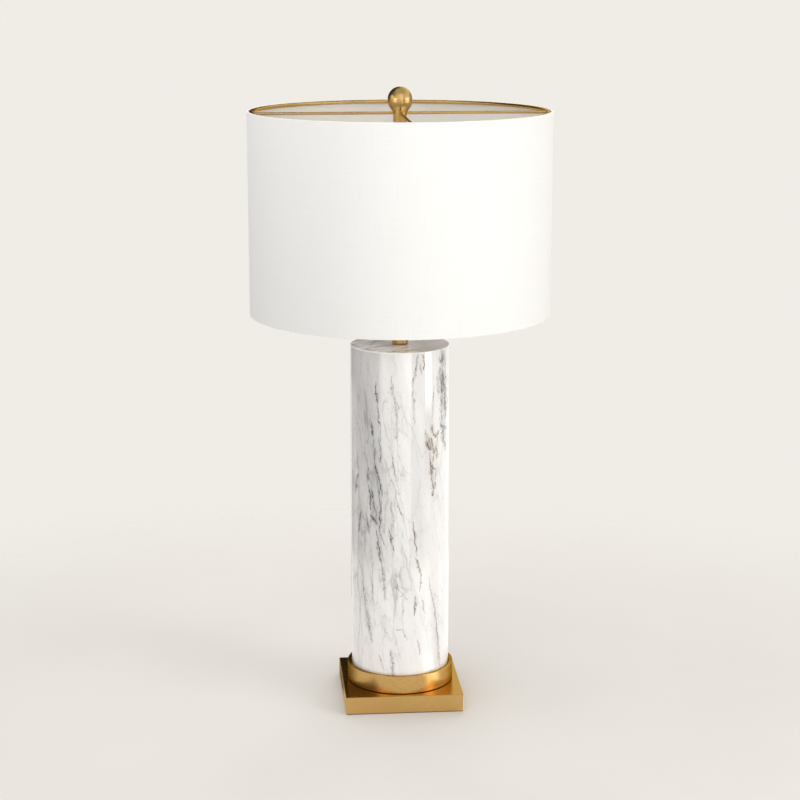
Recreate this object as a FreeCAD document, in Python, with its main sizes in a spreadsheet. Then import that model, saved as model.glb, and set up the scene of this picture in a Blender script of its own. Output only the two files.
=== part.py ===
import FreeCAD, Part
import math
import os
import Sketcher

# Column table lamp. Z is up, the base stands on Z = 0 centred on the Z axis, -Y is the front.
doc = FreeCAD.newDocument("ColumnLamp")
sheet = doc.addObject("Spreadsheet::Sheet", "Sizes")

# Driving sizes in millimetres, angles in degrees.
SIZES = {
    # square base
    "base_side": 152.4,
    "base_height": 22.05,
    "base_wall": 2.0,
    "base_cover": 2.5,
    "base_edge": 0.5,
    "pad_thick": 1.2,
    "pad_inset": 1.0,
    "weight_radius": 66.0,
    "weight_thick": 12.0,
    "weight_slot_width": 9.0,
    "weight_slot_depth": 7.0,
    # cord bushing in the back wall of the base
    "bushing_rise": 9.0,
    "bushing_bore": 3.2,
    "bushing_barrel": 4.6,
    "bushing_flange": 6.6,
    "bushing_flange_thick": 1.6,
    "bushing_tail": 2.2,
    # ring that the column stands in
    "collar_radius": 69.0,
    "collar_height": 24.15,
    "collar_floor": 2.0,
    "collar_bevel": 0.9,
    "collar_edge": 0.6,
    "collar_groove": 1.2,
    "collar_groove_height": 1.0,
    "collar_gap": 0.4,
    # hollow stone column
    "column_radius": 63.5,
    "column_height": 446.25,
    "column_wall": 9.0,
    "column_cap": 16.0,
    "column_edge": 0.9,
    "disc_thick": 6.0,
    "disc_gap": 0.3,
    # threaded pipe and the parts clamped by it
    "pipe_radius": 5.1,
    "pipe_bore": 3.5,
    "pipe_gap": 0.3,
    "thread_gap": 0.05,
    "clamp_washer_radius": 19.0,
    "clamp_washer_thick": 2.0,
    "nut_flats": 14.3,
    "nut_thick": 4.5,
    "lock_washer_radius": 8.0,
    "lock_washer_thick": 1.0,
    # turned neck between the column and the socket
    "neck_radius": 10.2,
    "neck_height": 24.5,
    "neck_round": 1.8,
    "neck_groove_rise": 6.5,
    "neck_groove_width": 1.4,
    "neck_groove_depth": 0.8,
    # harp saddle, harp and its sleeves
    "saddle_thick": 1.6,
    "saddle_width": 18.0,
    "saddle_reach": 28.5,
    "saddle_pad": 5.0,
    "post_height": 11.0,
    "harp_wire": 2.0,
    "harp_height": 247.6,
    "harp_half_width": 60.0,
    "harp_leg": 24.0,
    "harp_flare_radius": 50.0,
    "harp_side_radius": 110.0,
    "harp_lean": 30.0,
    "harp_seat": 6.6,
    "eyelet_radius": 7.0,
    "eyelet_thick": 4.6,
    "sleeve_length": 20.0,
    "sleeve_wall": 1.3,
    "sleeve_gap": 0.1,
    # swivel stud on the harp
    "stud_radius": 3.1,
    "stud_head": 5.4,
    "stud_head_thick": 1.6,
    "stud_collar": 6.4,
    "stud_collar_thick": 2.3,
    "stud_reach": 9.0,
    "seat_gap": 0.2,
    # socket
    "cap_radius": 17.0,
    "cap_wall": 0.8,
    "cap_hub_radius": 7.6,
    "cap_hub_height": 8.0,
    "cap_shoulder": 14.0,
    "cap_height": 20.0,
    "pipe_stand": 1.0,
    "shell_foot": 15.0,
    "shell_height": 47.0,
    "shell_wall": 0.6,
    "shell_lip": 0.8,
    "shell_lip_height": 1.4,
    "nest_gap": 0.1,
    "liner_wall": 0.7,
    "liner_setback": 1.0,
    "switch_foot": 16.0,
    "switch_height": 22.0,
    "switch_gap": 0.2,
    "contact_post": 2.0,
    "contact_post_height": 1.5,
    "contact_length": 13.0,
    "contact_width": 4.0,
    "contact_thick": 0.6,
    "screw_shell_wall": 0.5,
    "screw_shell_gap": 0.25,
    "terminal_recess": 3.6,
    "terminal_recess_depth": 2.6,
    "terminal_head": 3.0,
    "terminal_head_thick": 1.8,
    "terminal_shank": 1.5,
    "terminal_length": 5.0,
    "terminal_rise": 8.0,
    # turn switch
    "key_rise": 11.0,
    "key_radius": 1.6,
    "key_gap": 0.06,
    "key_root": 5.0,
    "key_bushing": 4.3,
    "key_bushing_reach": 4.0,
    "key_hole_gap": 0.2,
    "knob_radius": 5.6,
    "knob_taper": 0.7,
    "knob_length": 11.0,
    "knob_bore_depth": 7.0,
    "knob_flute": 0.7,
    "knob_edge": 0.6,
    # bulb
    "bulb_cap_radius": 13.0,
    "bulb_cap_wall": 0.4,
    "bulb_cap_height": 21.0,
    "bulb_tip_radius": 4.6,
    "bulb_tip_height": 1.2,
    "bulb_tip_gap": 0.3,
    "bulb_insulator_height": 3.6,
    "bulb_insulator_top": 11.6,
    "bulb_globe_radius": 30.0,
    "bulb_globe_rise": 53.0,
    "bulb_flare": 38.0,
    "bulb_glass_wall": 0.9,
    "bulb_tuck": 4.0,
    "bulb_stem_radius": 3.0,
    "bulb_stem_height": 30.0,
    "bulb_stem_foot": 10.5,
    "bulb_lead_radius": 0.5,
    "bulb_lead_spread": 4.4,
    "bulb_lead_height": 38.0,
    "bulb_filament_radius": 0.6,
    # shade
    "shade_radius": 190.5,
    "shade_height": 255.1,
    "shade_rise": 1.3,
    "fabric_thick": 0.9,
    "hem_depth": 9.0,
    "hem_thick": 0.6,
    "liner_thick": 0.7,
    "liner_fit": 0.1,
    "ring_wire": 2.4,
    "ring_drop": 1.3,
    "ring_fit": 0.1,
    "bottom_ring_wire": 1.9,
    "bottom_ring_rise": 2.9,
    "arm_wire": 1.8,
    "arm_drop": 2.3,
    "hub_radius": 8.5,
    "hub_height": 16.0,
    "hub_bore_gap": 0.08,
    # finial
    "finial_ball": 15.3,
    "finial_rise": 14.9,
    "finial_girdle": 3.4,
    "finial_shoulder": 11.0,
    "finial_turn": 36.0,
    "finial_foot_radius": 9.9,
    "finial_lip": 0.3,
    "finial_hole_gap": 0.05,
    "finial_hole_spare": 2.0,
}
KNOB_FLUTES = 16

for row, (alias, number) in enumerate(SIZES.items(), start=1):
    sheet.set(f"A{row}", alias)
    sheet.set(f"B{row}", str(number))
    sheet.setAlias(f"B{row}", alias)
doc.recompute()


class Size:
    """A length known both as a number and as a formula over the sheet's cells."""

    def __init__(self, value, text):
        self.value = value
        self.text = text

    def __add__(self, other):
        return joined(self, "+", other, self.value + plain(other).value)

    def __radd__(self, other):
        return plain(other) + self

    def __sub__(self, other):
        return joined(self, "-", other, self.value - plain(other).value)

    def __rsub__(self, other):
        return plain(other) - self

    def __mul__(self, other):
        return joined(self, "*", other, self.value * plain(other).value)

    def __rmul__(self, other):
        return plain(other) * self

    def __truediv__(self, other):
        return joined(self, "/", other, self.value / plain(other).value)

    def __neg__(self):
        return plain(0) - self


def plain(number):
    if isinstance(number, Size):
        return number
    return Size(float(number), str(number))


def joined(left, sign, right, value):
    return Size(value, f"({left.text} {sign} {plain(right).text})")


def root(size):
    return Size(math.sqrt(size.value), f"sqrt({size.text})")


def cosine(angle):
    return Size(math.cos(math.radians(angle.value)), f"cos({angle.text} * 1 deg)")


def sine(angle):
    return Size(math.sin(math.radians(angle.value)), f"sin({angle.text} * 1 deg)")


class Dimensions:
    """Every driving size as an attribute."""


dim = Dimensions()
for alias, number in SIZES.items():
    setattr(dim, alias, Size(number, f"Sizes.{alias}"))

nodes = []


def bind(item, prop, size):
    item.setExpression(prop, plain(size).text)


def place(item, x=0, y=0, z=0, turn=None):
    if turn is not None:
        item.Placement = FreeCAD.Placement(FreeCAD.Vector(0, 0, 0), turn)
    for axis, size in (("x", x), ("y", y), ("z", z)):
        bind(item, f"Placement.Base.{axis}", size)


def node(item, name):
    item.Label = name
    nodes.append(item)
    return item


# Turns that point a piece's own Z axis along another axis.
TOWARDS_FRONT = FreeCAD.Rotation(FreeCAD.Vector(1, 0, 0), 90)
TOWARDS_BACK = FreeCAD.Rotation(FreeCAD.Vector(1, 0, 0), -90)
TOWARDS_RIGHT = FreeCAD.Rotation(FreeCAD.Vector(0, 1, 0), 90)
TOWARDS_LEFT = FreeCAD.Rotation(FreeCAD.Vector(0, 1, 0), -90)


def cylinder(name, radius, height, x=0, y=0, z=0, turn=None):
    item = doc.addObject("Part::Cylinder", name)
    bind(item, "Radius", radius)
    bind(item, "Height", height)
    place(item, x, y, z, turn)
    return item


def block(name, length, width, height, x=0, y=0, z=0):
    item = doc.addObject("Part::Box", name)
    bind(item, "Length", length)
    bind(item, "Width", width)
    bind(item, "Height", height)
    place(item, x, y, z)
    return item


def cut(name, base, tool):
    item = doc.addObject("Part::Cut", name)
    item.Base = base
    item.Tool = tool
    return item


def fuse(name, pieces):
    item = doc.addObject("Part::MultiFuse", name)
    item.Shapes = pieces
    return item


def group(name, pieces):
    item = doc.addObject("Part::Compound", name)
    item.Links = pieces
    return item


def tube(name, outer, inner, height, foot):
    shell = cylinder(name + "_outside", outer, height, z=foot)
    bore = cylinder(name + "_bore", inner, height, z=foot)
    return node(cut(name + "_cut", shell, bore), name)


def origin_plane(body, role):
    return next(plane for plane in body.Origin.OriginFeatures if plane.Role == role)


def new_body(name):
    body = doc.addObject("PartDesign::Body", name + "_body")
    return node(body, name)


def new_sketch(body, name, role):
    sketch = body.newObject("Sketcher::SketchObject", name)
    sketch.AttachmentSupport = (origin_plane(body, role), [""])
    sketch.MapMode = "FlatFace"
    return sketch


def fix(sketch, kind, geo, pos, size):
    """Holds one coordinate of a point, on its axis where the coordinate is nothing."""
    if size.value == 0:
        axis = -2 if kind == "DistanceX" else -1
        sketch.addConstraint(Sketcher.Constraint("PointOnObject", geo, pos, axis))
        return
    index = sketch.addConstraint(Sketcher.Constraint(kind, -1, 1, geo, pos, size.value))
    sketch.setExpression(f"Constraints[{index}]", size.text)


def arc_between(start, end, radius, side):
    """The short arc from start to end whose centre is on the named side of the way."""
    across = end - start
    middle = (start + end) * 0.5
    reach = math.sqrt(max(radius * radius - (across.Length / 2) ** 2, 0))
    normal = FreeCAD.Vector(-across.y, across.x, 0)
    normal.normalize()
    sign = 1 if side == "left" else -1
    centre = middle + normal * (reach * sign)
    first, last = (start, end) if side == "left" else (end, start)
    begin = math.atan2(first.y - centre.y, first.x - centre.x)
    finish = math.atan2(last.y - centre.y, last.x - centre.x)
    circle = Part.Circle(centre, FreeCAD.Vector(0, 0, 1), radius)
    return Part.ArcOfCircle(circle, begin, finish)


def draw(sketch, corners, closed=True):
    """Draws lines and arcs through corners. A corner is (x, y) or (x, y, radius, side)."""
    corners = [tuple(plain(v) if v not in ("left", "right") else v for v in c) for c in corners]
    spots = [FreeCAD.Vector(c[0].value, c[1].value, 0) for c in corners]
    count = len(corners) if closed else len(corners) - 1
    ends = []
    for number in range(count):
        corner = corners[number]
        start, end = spots[number], spots[(number + 1) % len(spots)]
        if len(corner) == 2:
            geo = sketch.addGeometry(Part.LineSegment(start, end))
            ends.append((geo, 1, 2))
            continue
        geo = sketch.addGeometry(arc_between(start, end, corner[2].value, corner[3]))
        ends.append((geo, 1, 2) if corner[3] == "left" else (geo, 2, 1))
        index = sketch.addConstraint(Sketcher.Constraint("Radius", geo, corner[2].value))
        sketch.setExpression(f"Constraints[{index}]", corner[2].text)
    for number in range(count):
        geo, first, last = ends[number]
        fix(sketch, "DistanceX", geo, first, corners[number][0])
        fix(sketch, "DistanceY", geo, first, corners[number][1])
        if closed or number < count - 1:
            follower, entry, _ = ends[(number + 1) % count]
            sketch.addConstraint(Sketcher.Constraint("Coincident", geo, last, follower, entry))
    if not closed:
        geo, _, last = ends[-1]
        fix(sketch, "DistanceX", geo, last, corners[-1][0])
        fix(sketch, "DistanceY", geo, last, corners[-1][1])


def turned(name, outline, x=0, y=0, z=0, turn=None):
    """A piece turned about its own Z axis from an outline of (radius, height) corners."""
    body = new_body(name)
    sketch = new_sketch(body, name + "_outline", "XZ_Plane")
    draw(sketch, outline)
    feature = body.newObject("PartDesign::Revolution", name + "_turned")
    feature.Profile = sketch
    feature.ReferenceAxis = (sketch, ["V_Axis"])
    feature.Angle = 360
    sketch.Visibility = False
    body.Tip = feature
    place(body, x, y, z, turn)
    return body


def hexagon_nut(name, foot):
    prism = doc.addObject("Part::Prism", name + "_hexagon")
    prism.Polygon = 6
    bind(prism, "Circumradius", dim.nut_flats / root(plain(3)))
    bind(prism, "Height", dim.nut_thick)
    place(prism, z=foot)
    bore = cylinder(name + "_thread", dim.pipe_radius + dim.thread_gap, dim.nut_thick, z=foot)
    return node(cut(name + "_cut", prism, bore), name)


# Levels from the table up.
plate_top = dim.pad_thick + dim.base_height
column_foot = plate_top + dim.collar_floor
column_top = column_foot + dim.column_height
neck_top = column_top + dim.neck_height
saddle_top = neck_top + dim.saddle_thick
saddle_nut_foot = saddle_top + dim.lock_washer_thick
socket_foot = saddle_nut_foot + dim.nut_thick
harp_top = saddle_top + dim.harp_height
eyelet_top = harp_top + dim.eyelet_thick / 2
stud_shoulder = eyelet_top + dim.stud_collar_thick
hub_foot = stud_shoulder + dim.seat_gap
hub_top = hub_foot + dim.hub_height
arm_level = hub_top - dim.arm_drop
shade_top = hub_top + dim.shade_rise
shade_foot = shade_top - dim.shade_height
ring_level = hub_top - dim.ring_drop
finial_foot = hub_top + dim.seat_gap
weight_foot = plate_top - dim.base_cover - dim.weight_thick
washer_foot = weight_foot - dim.clamp_washer_thick
clamp_nut_foot = washer_foot - dim.nut_thick
pipe_hole = dim.pipe_radius + dim.pipe_gap
pipe_thread = dim.pipe_radius + dim.thread_gap


def make_base_plate():
    body = new_body("base_plate")
    half = dim.base_side / 2
    inside = half - dim.base_wall
    outline = new_sketch(body, "plate_outline", "XY_Plane")
    draw(outline, [(-half, -half), (half, -half), (half, half), (-half, half)])
    pad = body.newObject("PartDesign::Pad", "plate_block")
    pad.Profile = outline
    bind(pad, "Length", dim.base_height)
    doc.recompute()
    edges = []
    for number, edge in enumerate(pad.Shape.Edges, start=1):
        if edge.BoundBox.ZMax > dim.base_height.value - 0.01:
            edges.append(f"Edge{number}")
    bevel = body.newObject("PartDesign::Chamfer", "plate_bevel")
    bevel.Base = (pad, edges)
    bind(bevel, "Size", dim.base_edge)
    hollow_outline = new_sketch(body, "hollow_outline", "XY_Plane")
    draw(hollow_outline, [(-inside, -inside), (inside, -inside), (inside, inside), (-inside, inside)])
    hollow = body.newObject("PartDesign::Pocket", "plate_hollow")
    hollow.Profile = hollow_outline
    hollow.Reversed = True
    bind(hollow, "Length", dim.base_height - dim.base_cover)
    hole_outline = new_sketch(body, "pipe_hole_outline", "XY_Plane")
    circle(hole_outline, 0, 0, pipe_hole)
    hole = body.newObject("PartDesign::Pocket", "pipe_hole")
    hole.Profile = hole_outline
    hole.Reversed = True
    bind(hole, "Length", dim.base_height)
    cord_outline = new_sketch(body, "cord_hole_outline", "XZ_Plane")
    circle(cord_outline, 0, dim.bushing_rise, dim.bushing_barrel)
    cord_hole = body.newObject("PartDesign::Pocket", "cord_hole")
    cord_hole.Profile = cord_outline
    bind(cord_hole, "Length", dim.base_side)
    body.Tip = cord_hole
    place(body, z=dim.pad_thick)


def circle(sketch, x, y, radius):
    spot = FreeCAD.Vector(plain(x).value, plain(y).value, 0)
    shape = Part.Circle(spot, FreeCAD.Vector(0, 0, 1), radius.value)
    geo = sketch.addGeometry(shape)
    index = sketch.addConstraint(Sketcher.Constraint("Radius", geo, radius.value))
    sketch.setExpression(f"Constraints[{index}]", radius.text)
    fix(sketch, "DistanceX", geo, 3, plain(x))
    fix(sketch, "DistanceY", geo, 3, plain(y))


def make_base_parts():
    make_base_plate()
    pad_side = dim.base_side - dim.pad_inset * 2
    corner = -(pad_side / 2)
    node(block("pad_sheet", pad_side, pad_side, dim.pad_thick, corner, corner, 0), "base_pad")

    disc = cylinder("weight_disc", dim.weight_radius, dim.weight_thick, z=weight_foot)
    bore = cylinder("weight_bore", pipe_hole, dim.weight_thick, z=weight_foot)
    slot = block(
        "weight_slot", dim.weight_slot_width, dim.weight_radius, dim.weight_slot_depth,
        -(dim.weight_slot_width / 2), 0, weight_foot,
    )
    node(cut("weight_cut", disc, fuse("weight_openings", [bore, slot])), "base_weight")

    wall = dim.base_wall
    flange = dim.bushing_flange_thick
    lip = dim.bushing_tail - dim.seat_gap
    turned(
        "cord_bushing",
        [
            (dim.bushing_bore, -(wall + dim.bushing_tail)),
            (dim.bushing_barrel + lip / 4, -(wall + dim.bushing_tail)),
            (dim.bushing_barrel + lip / 4, -(wall + dim.seat_gap)),
            (dim.bushing_barrel - dim.seat_gap / 2, -(wall + dim.seat_gap)),
            (dim.bushing_barrel - dim.seat_gap / 2, 0),
            (dim.bushing_flange, 0),
            (dim.bushing_flange - flange / 2, flange),
            (dim.bushing_bore, flange),
        ],
        y=dim.base_side / 2, z=dim.pad_thick + dim.bushing_rise, turn=TOWARDS_BACK,
    )


def make_column_parts():
    inner = dim.column_radius + dim.collar_gap
    turned(
        "collar",
        [
            (pipe_hole, 0),
            (dim.collar_radius - dim.collar_groove, 0),
            (dim.collar_radius - dim.collar_groove, dim.collar_groove_height),
            (dim.collar_radius, dim.collar_groove_height),
            (dim.collar_radius, dim.collar_height - dim.collar_edge),
            (dim.collar_radius - dim.collar_edge, dim.collar_height),
            (inner + dim.collar_bevel, dim.collar_height),
            (inner, dim.collar_height - dim.collar_bevel),
            (inner, dim.collar_floor),
            (pipe_hole, dim.collar_floor),
        ],
        z=plate_top,
    )
    hollow = dim.column_radius - dim.column_wall
    turned(
        "marble_column",
        [
            (hollow, 0),
            (dim.column_radius, 0),
            (dim.column_radius, dim.column_height - dim.column_edge),
            (dim.column_radius - dim.column_edge, dim.column_height),
            (pipe_hole, dim.column_height),
            (pipe_hole, dim.column_height - dim.column_cap),
            (hollow, dim.column_height - dim.column_cap),
        ],
        z=column_foot,
    )
    tube("centring_disc", hollow - dim.disc_gap, pipe_hole, dim.disc_thick, column_foot)


def make_stack_parts():
    pipe_top = socket_foot + dim.cap_hub_height + dim.pipe_stand
    tube("threaded_pipe", dim.pipe_radius, dim.pipe_bore, pipe_top - clamp_nut_foot, clamp_nut_foot)
    tube("clamp_washer", dim.clamp_washer_radius, pipe_hole, dim.clamp_washer_thick, washer_foot)
    hexagon_nut("clamp_nut", clamp_nut_foot)
    tube("lock_washer", dim.lock_washer_radius, pipe_hole, dim.lock_washer_thick, saddle_top)
    hexagon_nut("saddle_nut", saddle_nut_foot)

    groove_top = dim.neck_groove_rise + dim.neck_groove_width
    turned(
        "neck",
        [
            (pipe_hole, 0),
            (dim.neck_radius - dim.neck_round, 0, dim.neck_round, "left"),
            (dim.neck_radius, dim.neck_round),
            (dim.neck_radius, dim.neck_groove_rise),
            (dim.neck_radius - dim.neck_groove_depth, dim.neck_groove_rise),
            (dim.neck_radius - dim.neck_groove_depth, groove_top),
            (dim.neck_radius, groove_top),
            (dim.neck_radius, dim.neck_height),
            (pipe_hole, dim.neck_height),
        ],
        z=column_top,
    )


def make_harp_parts():
    strap = block(
        "saddle_strap", dim.saddle_reach * 2, dim.saddle_width, dim.saddle_thick,
        -dim.saddle_reach, -(dim.saddle_width / 2), neck_top,
    )
    upright = []
    for side, sign in (("left", -1), ("right", 1)):
        post = cylinder(
            f"saddle_post_{side}", dim.harp_wire, dim.saddle_thick + dim.post_height,
            x=dim.saddle_reach * sign, z=neck_top,
        )
        ear = cylinder(
            f"saddle_ear_{side}", dim.saddle_pad, dim.saddle_thick, x=dim.saddle_reach * sign, z=neck_top,
        )
        upright.extend([post, ear])
    waist = []
    for side, sign in (("front", -1), ("back", 1)):
        for hand, way in (("left", -1), ("right", 1)):
            waist.append(
                block(
                    f"saddle_waist_{side}_{hand}",
                    dim.saddle_reach - dim.saddle_width / 2,
                    dim.saddle_width / 2 - dim.saddle_pad,
                    dim.saddle_thick,
                    dim.saddle_width / 2 if way > 0 else -dim.saddle_reach,
                    dim.saddle_pad if sign > 0 else -(dim.saddle_width / 2),
                    neck_top,
                )
            )
    strip = cut("saddle_strip", strap, fuse("saddle_waists", waist))
    solid = fuse("saddle_solid", [strip] + upright)
    bore = cylinder("saddle_bore", pipe_hole, dim.saddle_thick, z=neck_top)
    node(cut("saddle_cut", solid, bore), "harp_saddle")

    foot = saddle_top + dim.post_height
    leg_top = foot + dim.harp_leg
    offset = dim.harp_half_width - dim.saddle_reach
    flare = dim.harp_flare_radius
    flare_cosine = 1 - offset / (flare * 2)
    flare_rise = flare * root(1 - flare_cosine * flare_cosine)
    side_radius = dim.harp_side_radius
    lean_cosine = cosine(dim.harp_lean)
    lean_sine = sine(dim.harp_lean)
    side_in = side_radius * (1 - lean_cosine)
    crown = (dim.harp_half_width - dim.harp_seat - side_in) / lean_cosine
    shoulder = harp_top - crown * (1 - lean_sine)
    side_foot = shoulder - side_radius * lean_sine
    right_up = [
        (dim.saddle_reach, foot),
        (dim.saddle_reach, leg_top, flare, "right"),
        (dim.saddle_reach + offset / 2, leg_top + flare_rise, flare, "left"),
        (dim.harp_half_width, leg_top + flare_rise * 2),
        (dim.harp_half_width, side_foot, side_radius, "left"),
        (dim.harp_half_width - side_in, shoulder, crown, "left"),
        (dim.harp_seat, harp_top),
    ]
    left_down = [
        (-dim.harp_seat, harp_top, crown, "left"),
        (-(dim.harp_half_width - side_in), shoulder, side_radius, "left"),
        (-dim.harp_half_width, side_foot),
        (-dim.harp_half_width, leg_top + flare_rise * 2, flare, "left"),
        (-(dim.saddle_reach + offset / 2), leg_top + flare_rise, flare, "right"),
        (-dim.saddle_reach, leg_top),
        (-dim.saddle_reach, foot),
    ]
    path = doc.addObject("Sketcher::SketchObject", "harp_path")
    path.Placement = FreeCAD.Placement(FreeCAD.Vector(0, 0, 0), FreeCAD.Rotation(FreeCAD.Vector(1, 0, 0), 90))
    draw(path, right_up + left_down, closed=False)
    section = doc.addObject("Part::Circle", "harp_section")
    bind(section, "Radius", dim.harp_wire)
    place(section, x=dim.saddle_reach, z=foot)
    doc.recompute()
    wire = doc.addObject("Part::Sweep", "harp_wire")
    wire.Sections = [section]
    wire.Spine = (path, [f"Edge{n}" for n in range(1, len(path.Shape.Edges) + 1)])
    wire.Solid = True
    wire.Frenet = False
    eyelet = cylinder(
        "harp_eyelet", dim.eyelet_radius, dim.eyelet_thick, z=harp_top - dim.eyelet_thick / 2
    )
    loop = fuse("harp_loop", [wire, eyelet])
    hole = cylinder(
        "harp_hole", dim.stud_radius + dim.thread_gap, dim.eyelet_thick, z=harp_top - dim.eyelet_thick / 2
    )
    node(cut("harp_cut", loop, hole), "harp")

    for side, sign in (("left", -1), ("right", 1)):
        outer = dim.harp_wire + dim.sleeve_gap + dim.sleeve_wall
        turned(
            f"harp_sleeve_{side}",
            [
                (dim.harp_wire + dim.sleeve_gap, 0),
                (outer, 0),
                (outer, dim.sleeve_length - dim.sleeve_wall / 2),
                (outer - dim.sleeve_wall / 2, dim.sleeve_length),
                (dim.harp_wire + dim.sleeve_gap, dim.sleeve_length),
            ],
            x=dim.saddle_reach * sign, z=saddle_top + dim.sleeve_gap,
        )

    head_foot = eyelet_top - dim.eyelet_thick - dim.stud_head_thick
    under = dim.stud_head_thick
    above = under + dim.eyelet_thick
    tip = above + dim.stud_collar_thick + dim.seat_gap + dim.hub_height + dim.stud_reach
    turned(
        "harp_stud",
        [
            (0, 0),
            (dim.stud_head, 0),
            (dim.stud_head, under),
            (dim.stud_radius, under),
            (dim.stud_radius, above),
            (dim.stud_collar, above),
            (dim.stud_collar, above + dim.stud_collar_thick),
            (dim.stud_radius, above + dim.stud_collar_thick),
            (dim.stud_radius, tip),
            (0, tip),
        ],
        z=head_foot,
    )


def key_level():
    return socket_foot + dim.switch_foot + dim.key_rise


def make_socket_parts():
    cap_inner = dim.cap_radius - dim.cap_wall
    turned(
        "socket_cap",
        [
            (pipe_thread, 0),
            (dim.cap_hub_radius, 0),
            (dim.cap_hub_radius, dim.cap_hub_height),
            (dim.cap_radius, dim.cap_shoulder),
            (dim.cap_radius, dim.cap_height),
            (cap_inner, dim.cap_height),
            (cap_inner, dim.cap_shoulder + dim.cap_wall / 2),
            (pipe_thread, dim.cap_hub_height + dim.cap_wall),
        ],
        z=socket_foot,
    )
    shell_outer = cap_inner - dim.nest_gap
    shell_inner = shell_outer - dim.shell_wall
    lip_foot = dim.shell_height - dim.shell_lip_height
    shell_body = turned(
        "socket_shell",
        [
            (shell_inner, 0),
            (shell_outer, 0),
            (shell_outer, lip_foot),
            (shell_outer + dim.shell_lip, lip_foot),
            (shell_outer + dim.shell_lip, dim.shell_height),
            (shell_inner, dim.shell_height),
        ],
        z=socket_foot + dim.shell_foot,
    )
    side_pocket(shell_body, key_level() - socket_foot - dim.shell_foot)

    liner_outer = shell_inner - dim.nest_gap
    liner_inner = liner_outer - dim.liner_wall
    liner_foot = dim.shell_foot + dim.liner_setback
    liner_height = dim.shell_height - dim.liner_setback * 2
    liner_body = turned(
        "socket_liner",
        [(liner_inner, 0), (liner_outer, 0), (liner_outer, liner_height), (liner_inner, liner_height)],
        z=socket_foot + liner_foot,
    )
    side_pocket(liner_body, key_level() - socket_foot - liner_foot)

    switch_radius = liner_inner - dim.switch_gap
    switch_foot = socket_foot + dim.switch_foot
    switch_top = switch_foot + dim.switch_height
    block_body = cylinder("switch_block", switch_radius, dim.switch_height, z=switch_foot)
    key_bore = cylinder(
        "switch_key_bore", dim.key_radius + dim.key_gap, dim.cap_radius, y=-dim.key_root, z=key_level(),
        turn=TOWARDS_FRONT,
    )
    seats = [key_bore]
    screws = []
    for side, turn, sign in (("left", TOWARDS_LEFT, -1), ("right", TOWARDS_RIGHT, 1)):
        level = switch_foot + dim.terminal_rise
        floor = (switch_radius - dim.terminal_recess_depth) * sign
        root_end = floor - dim.terminal_length * sign
        seats.append(
            cylinder(
                f"terminal_recess_{side}", dim.terminal_recess, dim.terminal_recess_depth * 2,
                x=floor, z=level, turn=turn,
            )
        )
        seats.append(
            cylinder(
                f"terminal_thread_{side}", dim.terminal_shank + dim.thread_gap, dim.terminal_length,
                x=root_end, z=level, turn=turn,
            )
        )
        head = cylinder(
            f"terminal_head_{side}", dim.terminal_head, dim.terminal_head_thick, x=floor, z=level, turn=turn,
        )
        shank = cylinder(
            f"terminal_shank_{side}", dim.terminal_shank, dim.terminal_length, x=root_end, z=level, turn=turn,
        )
        screws.append(fuse(f"terminal_screw_{side}", [head, shank]))
    node(cut("switch_cut", block_body, fuse("switch_seats", seats)), "switch_body")
    node(group("terminal_pair", screws), "terminal_screws")

    shell_radius = dim.bulb_cap_radius + dim.screw_shell_gap
    shell_rise = dim.shell_foot + dim.shell_height - dim.switch_foot - dim.switch_height
    tube(
        "screw_shell", shell_radius + dim.screw_shell_wall, shell_radius,
        shell_rise - dim.liner_setback, switch_top,
    )
    post = cylinder("contact_post", dim.contact_post, dim.contact_post_height, z=switch_top)
    tongue = block(
        "contact_tongue", dim.contact_length, dim.contact_width, dim.contact_thick,
        -(dim.contact_length / 2), -(dim.contact_width / 2), switch_top + dim.contact_post_height,
    )
    node(fuse("contact_solid", [post, tongue]), "centre_contact")
    make_switch_key(switch_radius)
    make_bulb(switch_top + dim.contact_post_height + dim.contact_thick + dim.bulb_tip_gap)


def side_pocket(body, level):
    """Opens the front wall of a socket sleeve for the switch key."""
    outline = new_sketch(body, body.Label + "_key_outline", "XZ_Plane")
    circle(outline, 0, level, dim.key_bushing + dim.key_hole_gap)
    pocket = body.newObject("PartDesign::Pocket", body.Label + "_key_hole")
    pocket.Profile = outline
    pocket.Reversed = True
    bind(pocket, "Length", dim.cap_radius * 2)
    body.Tip = pocket


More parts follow.
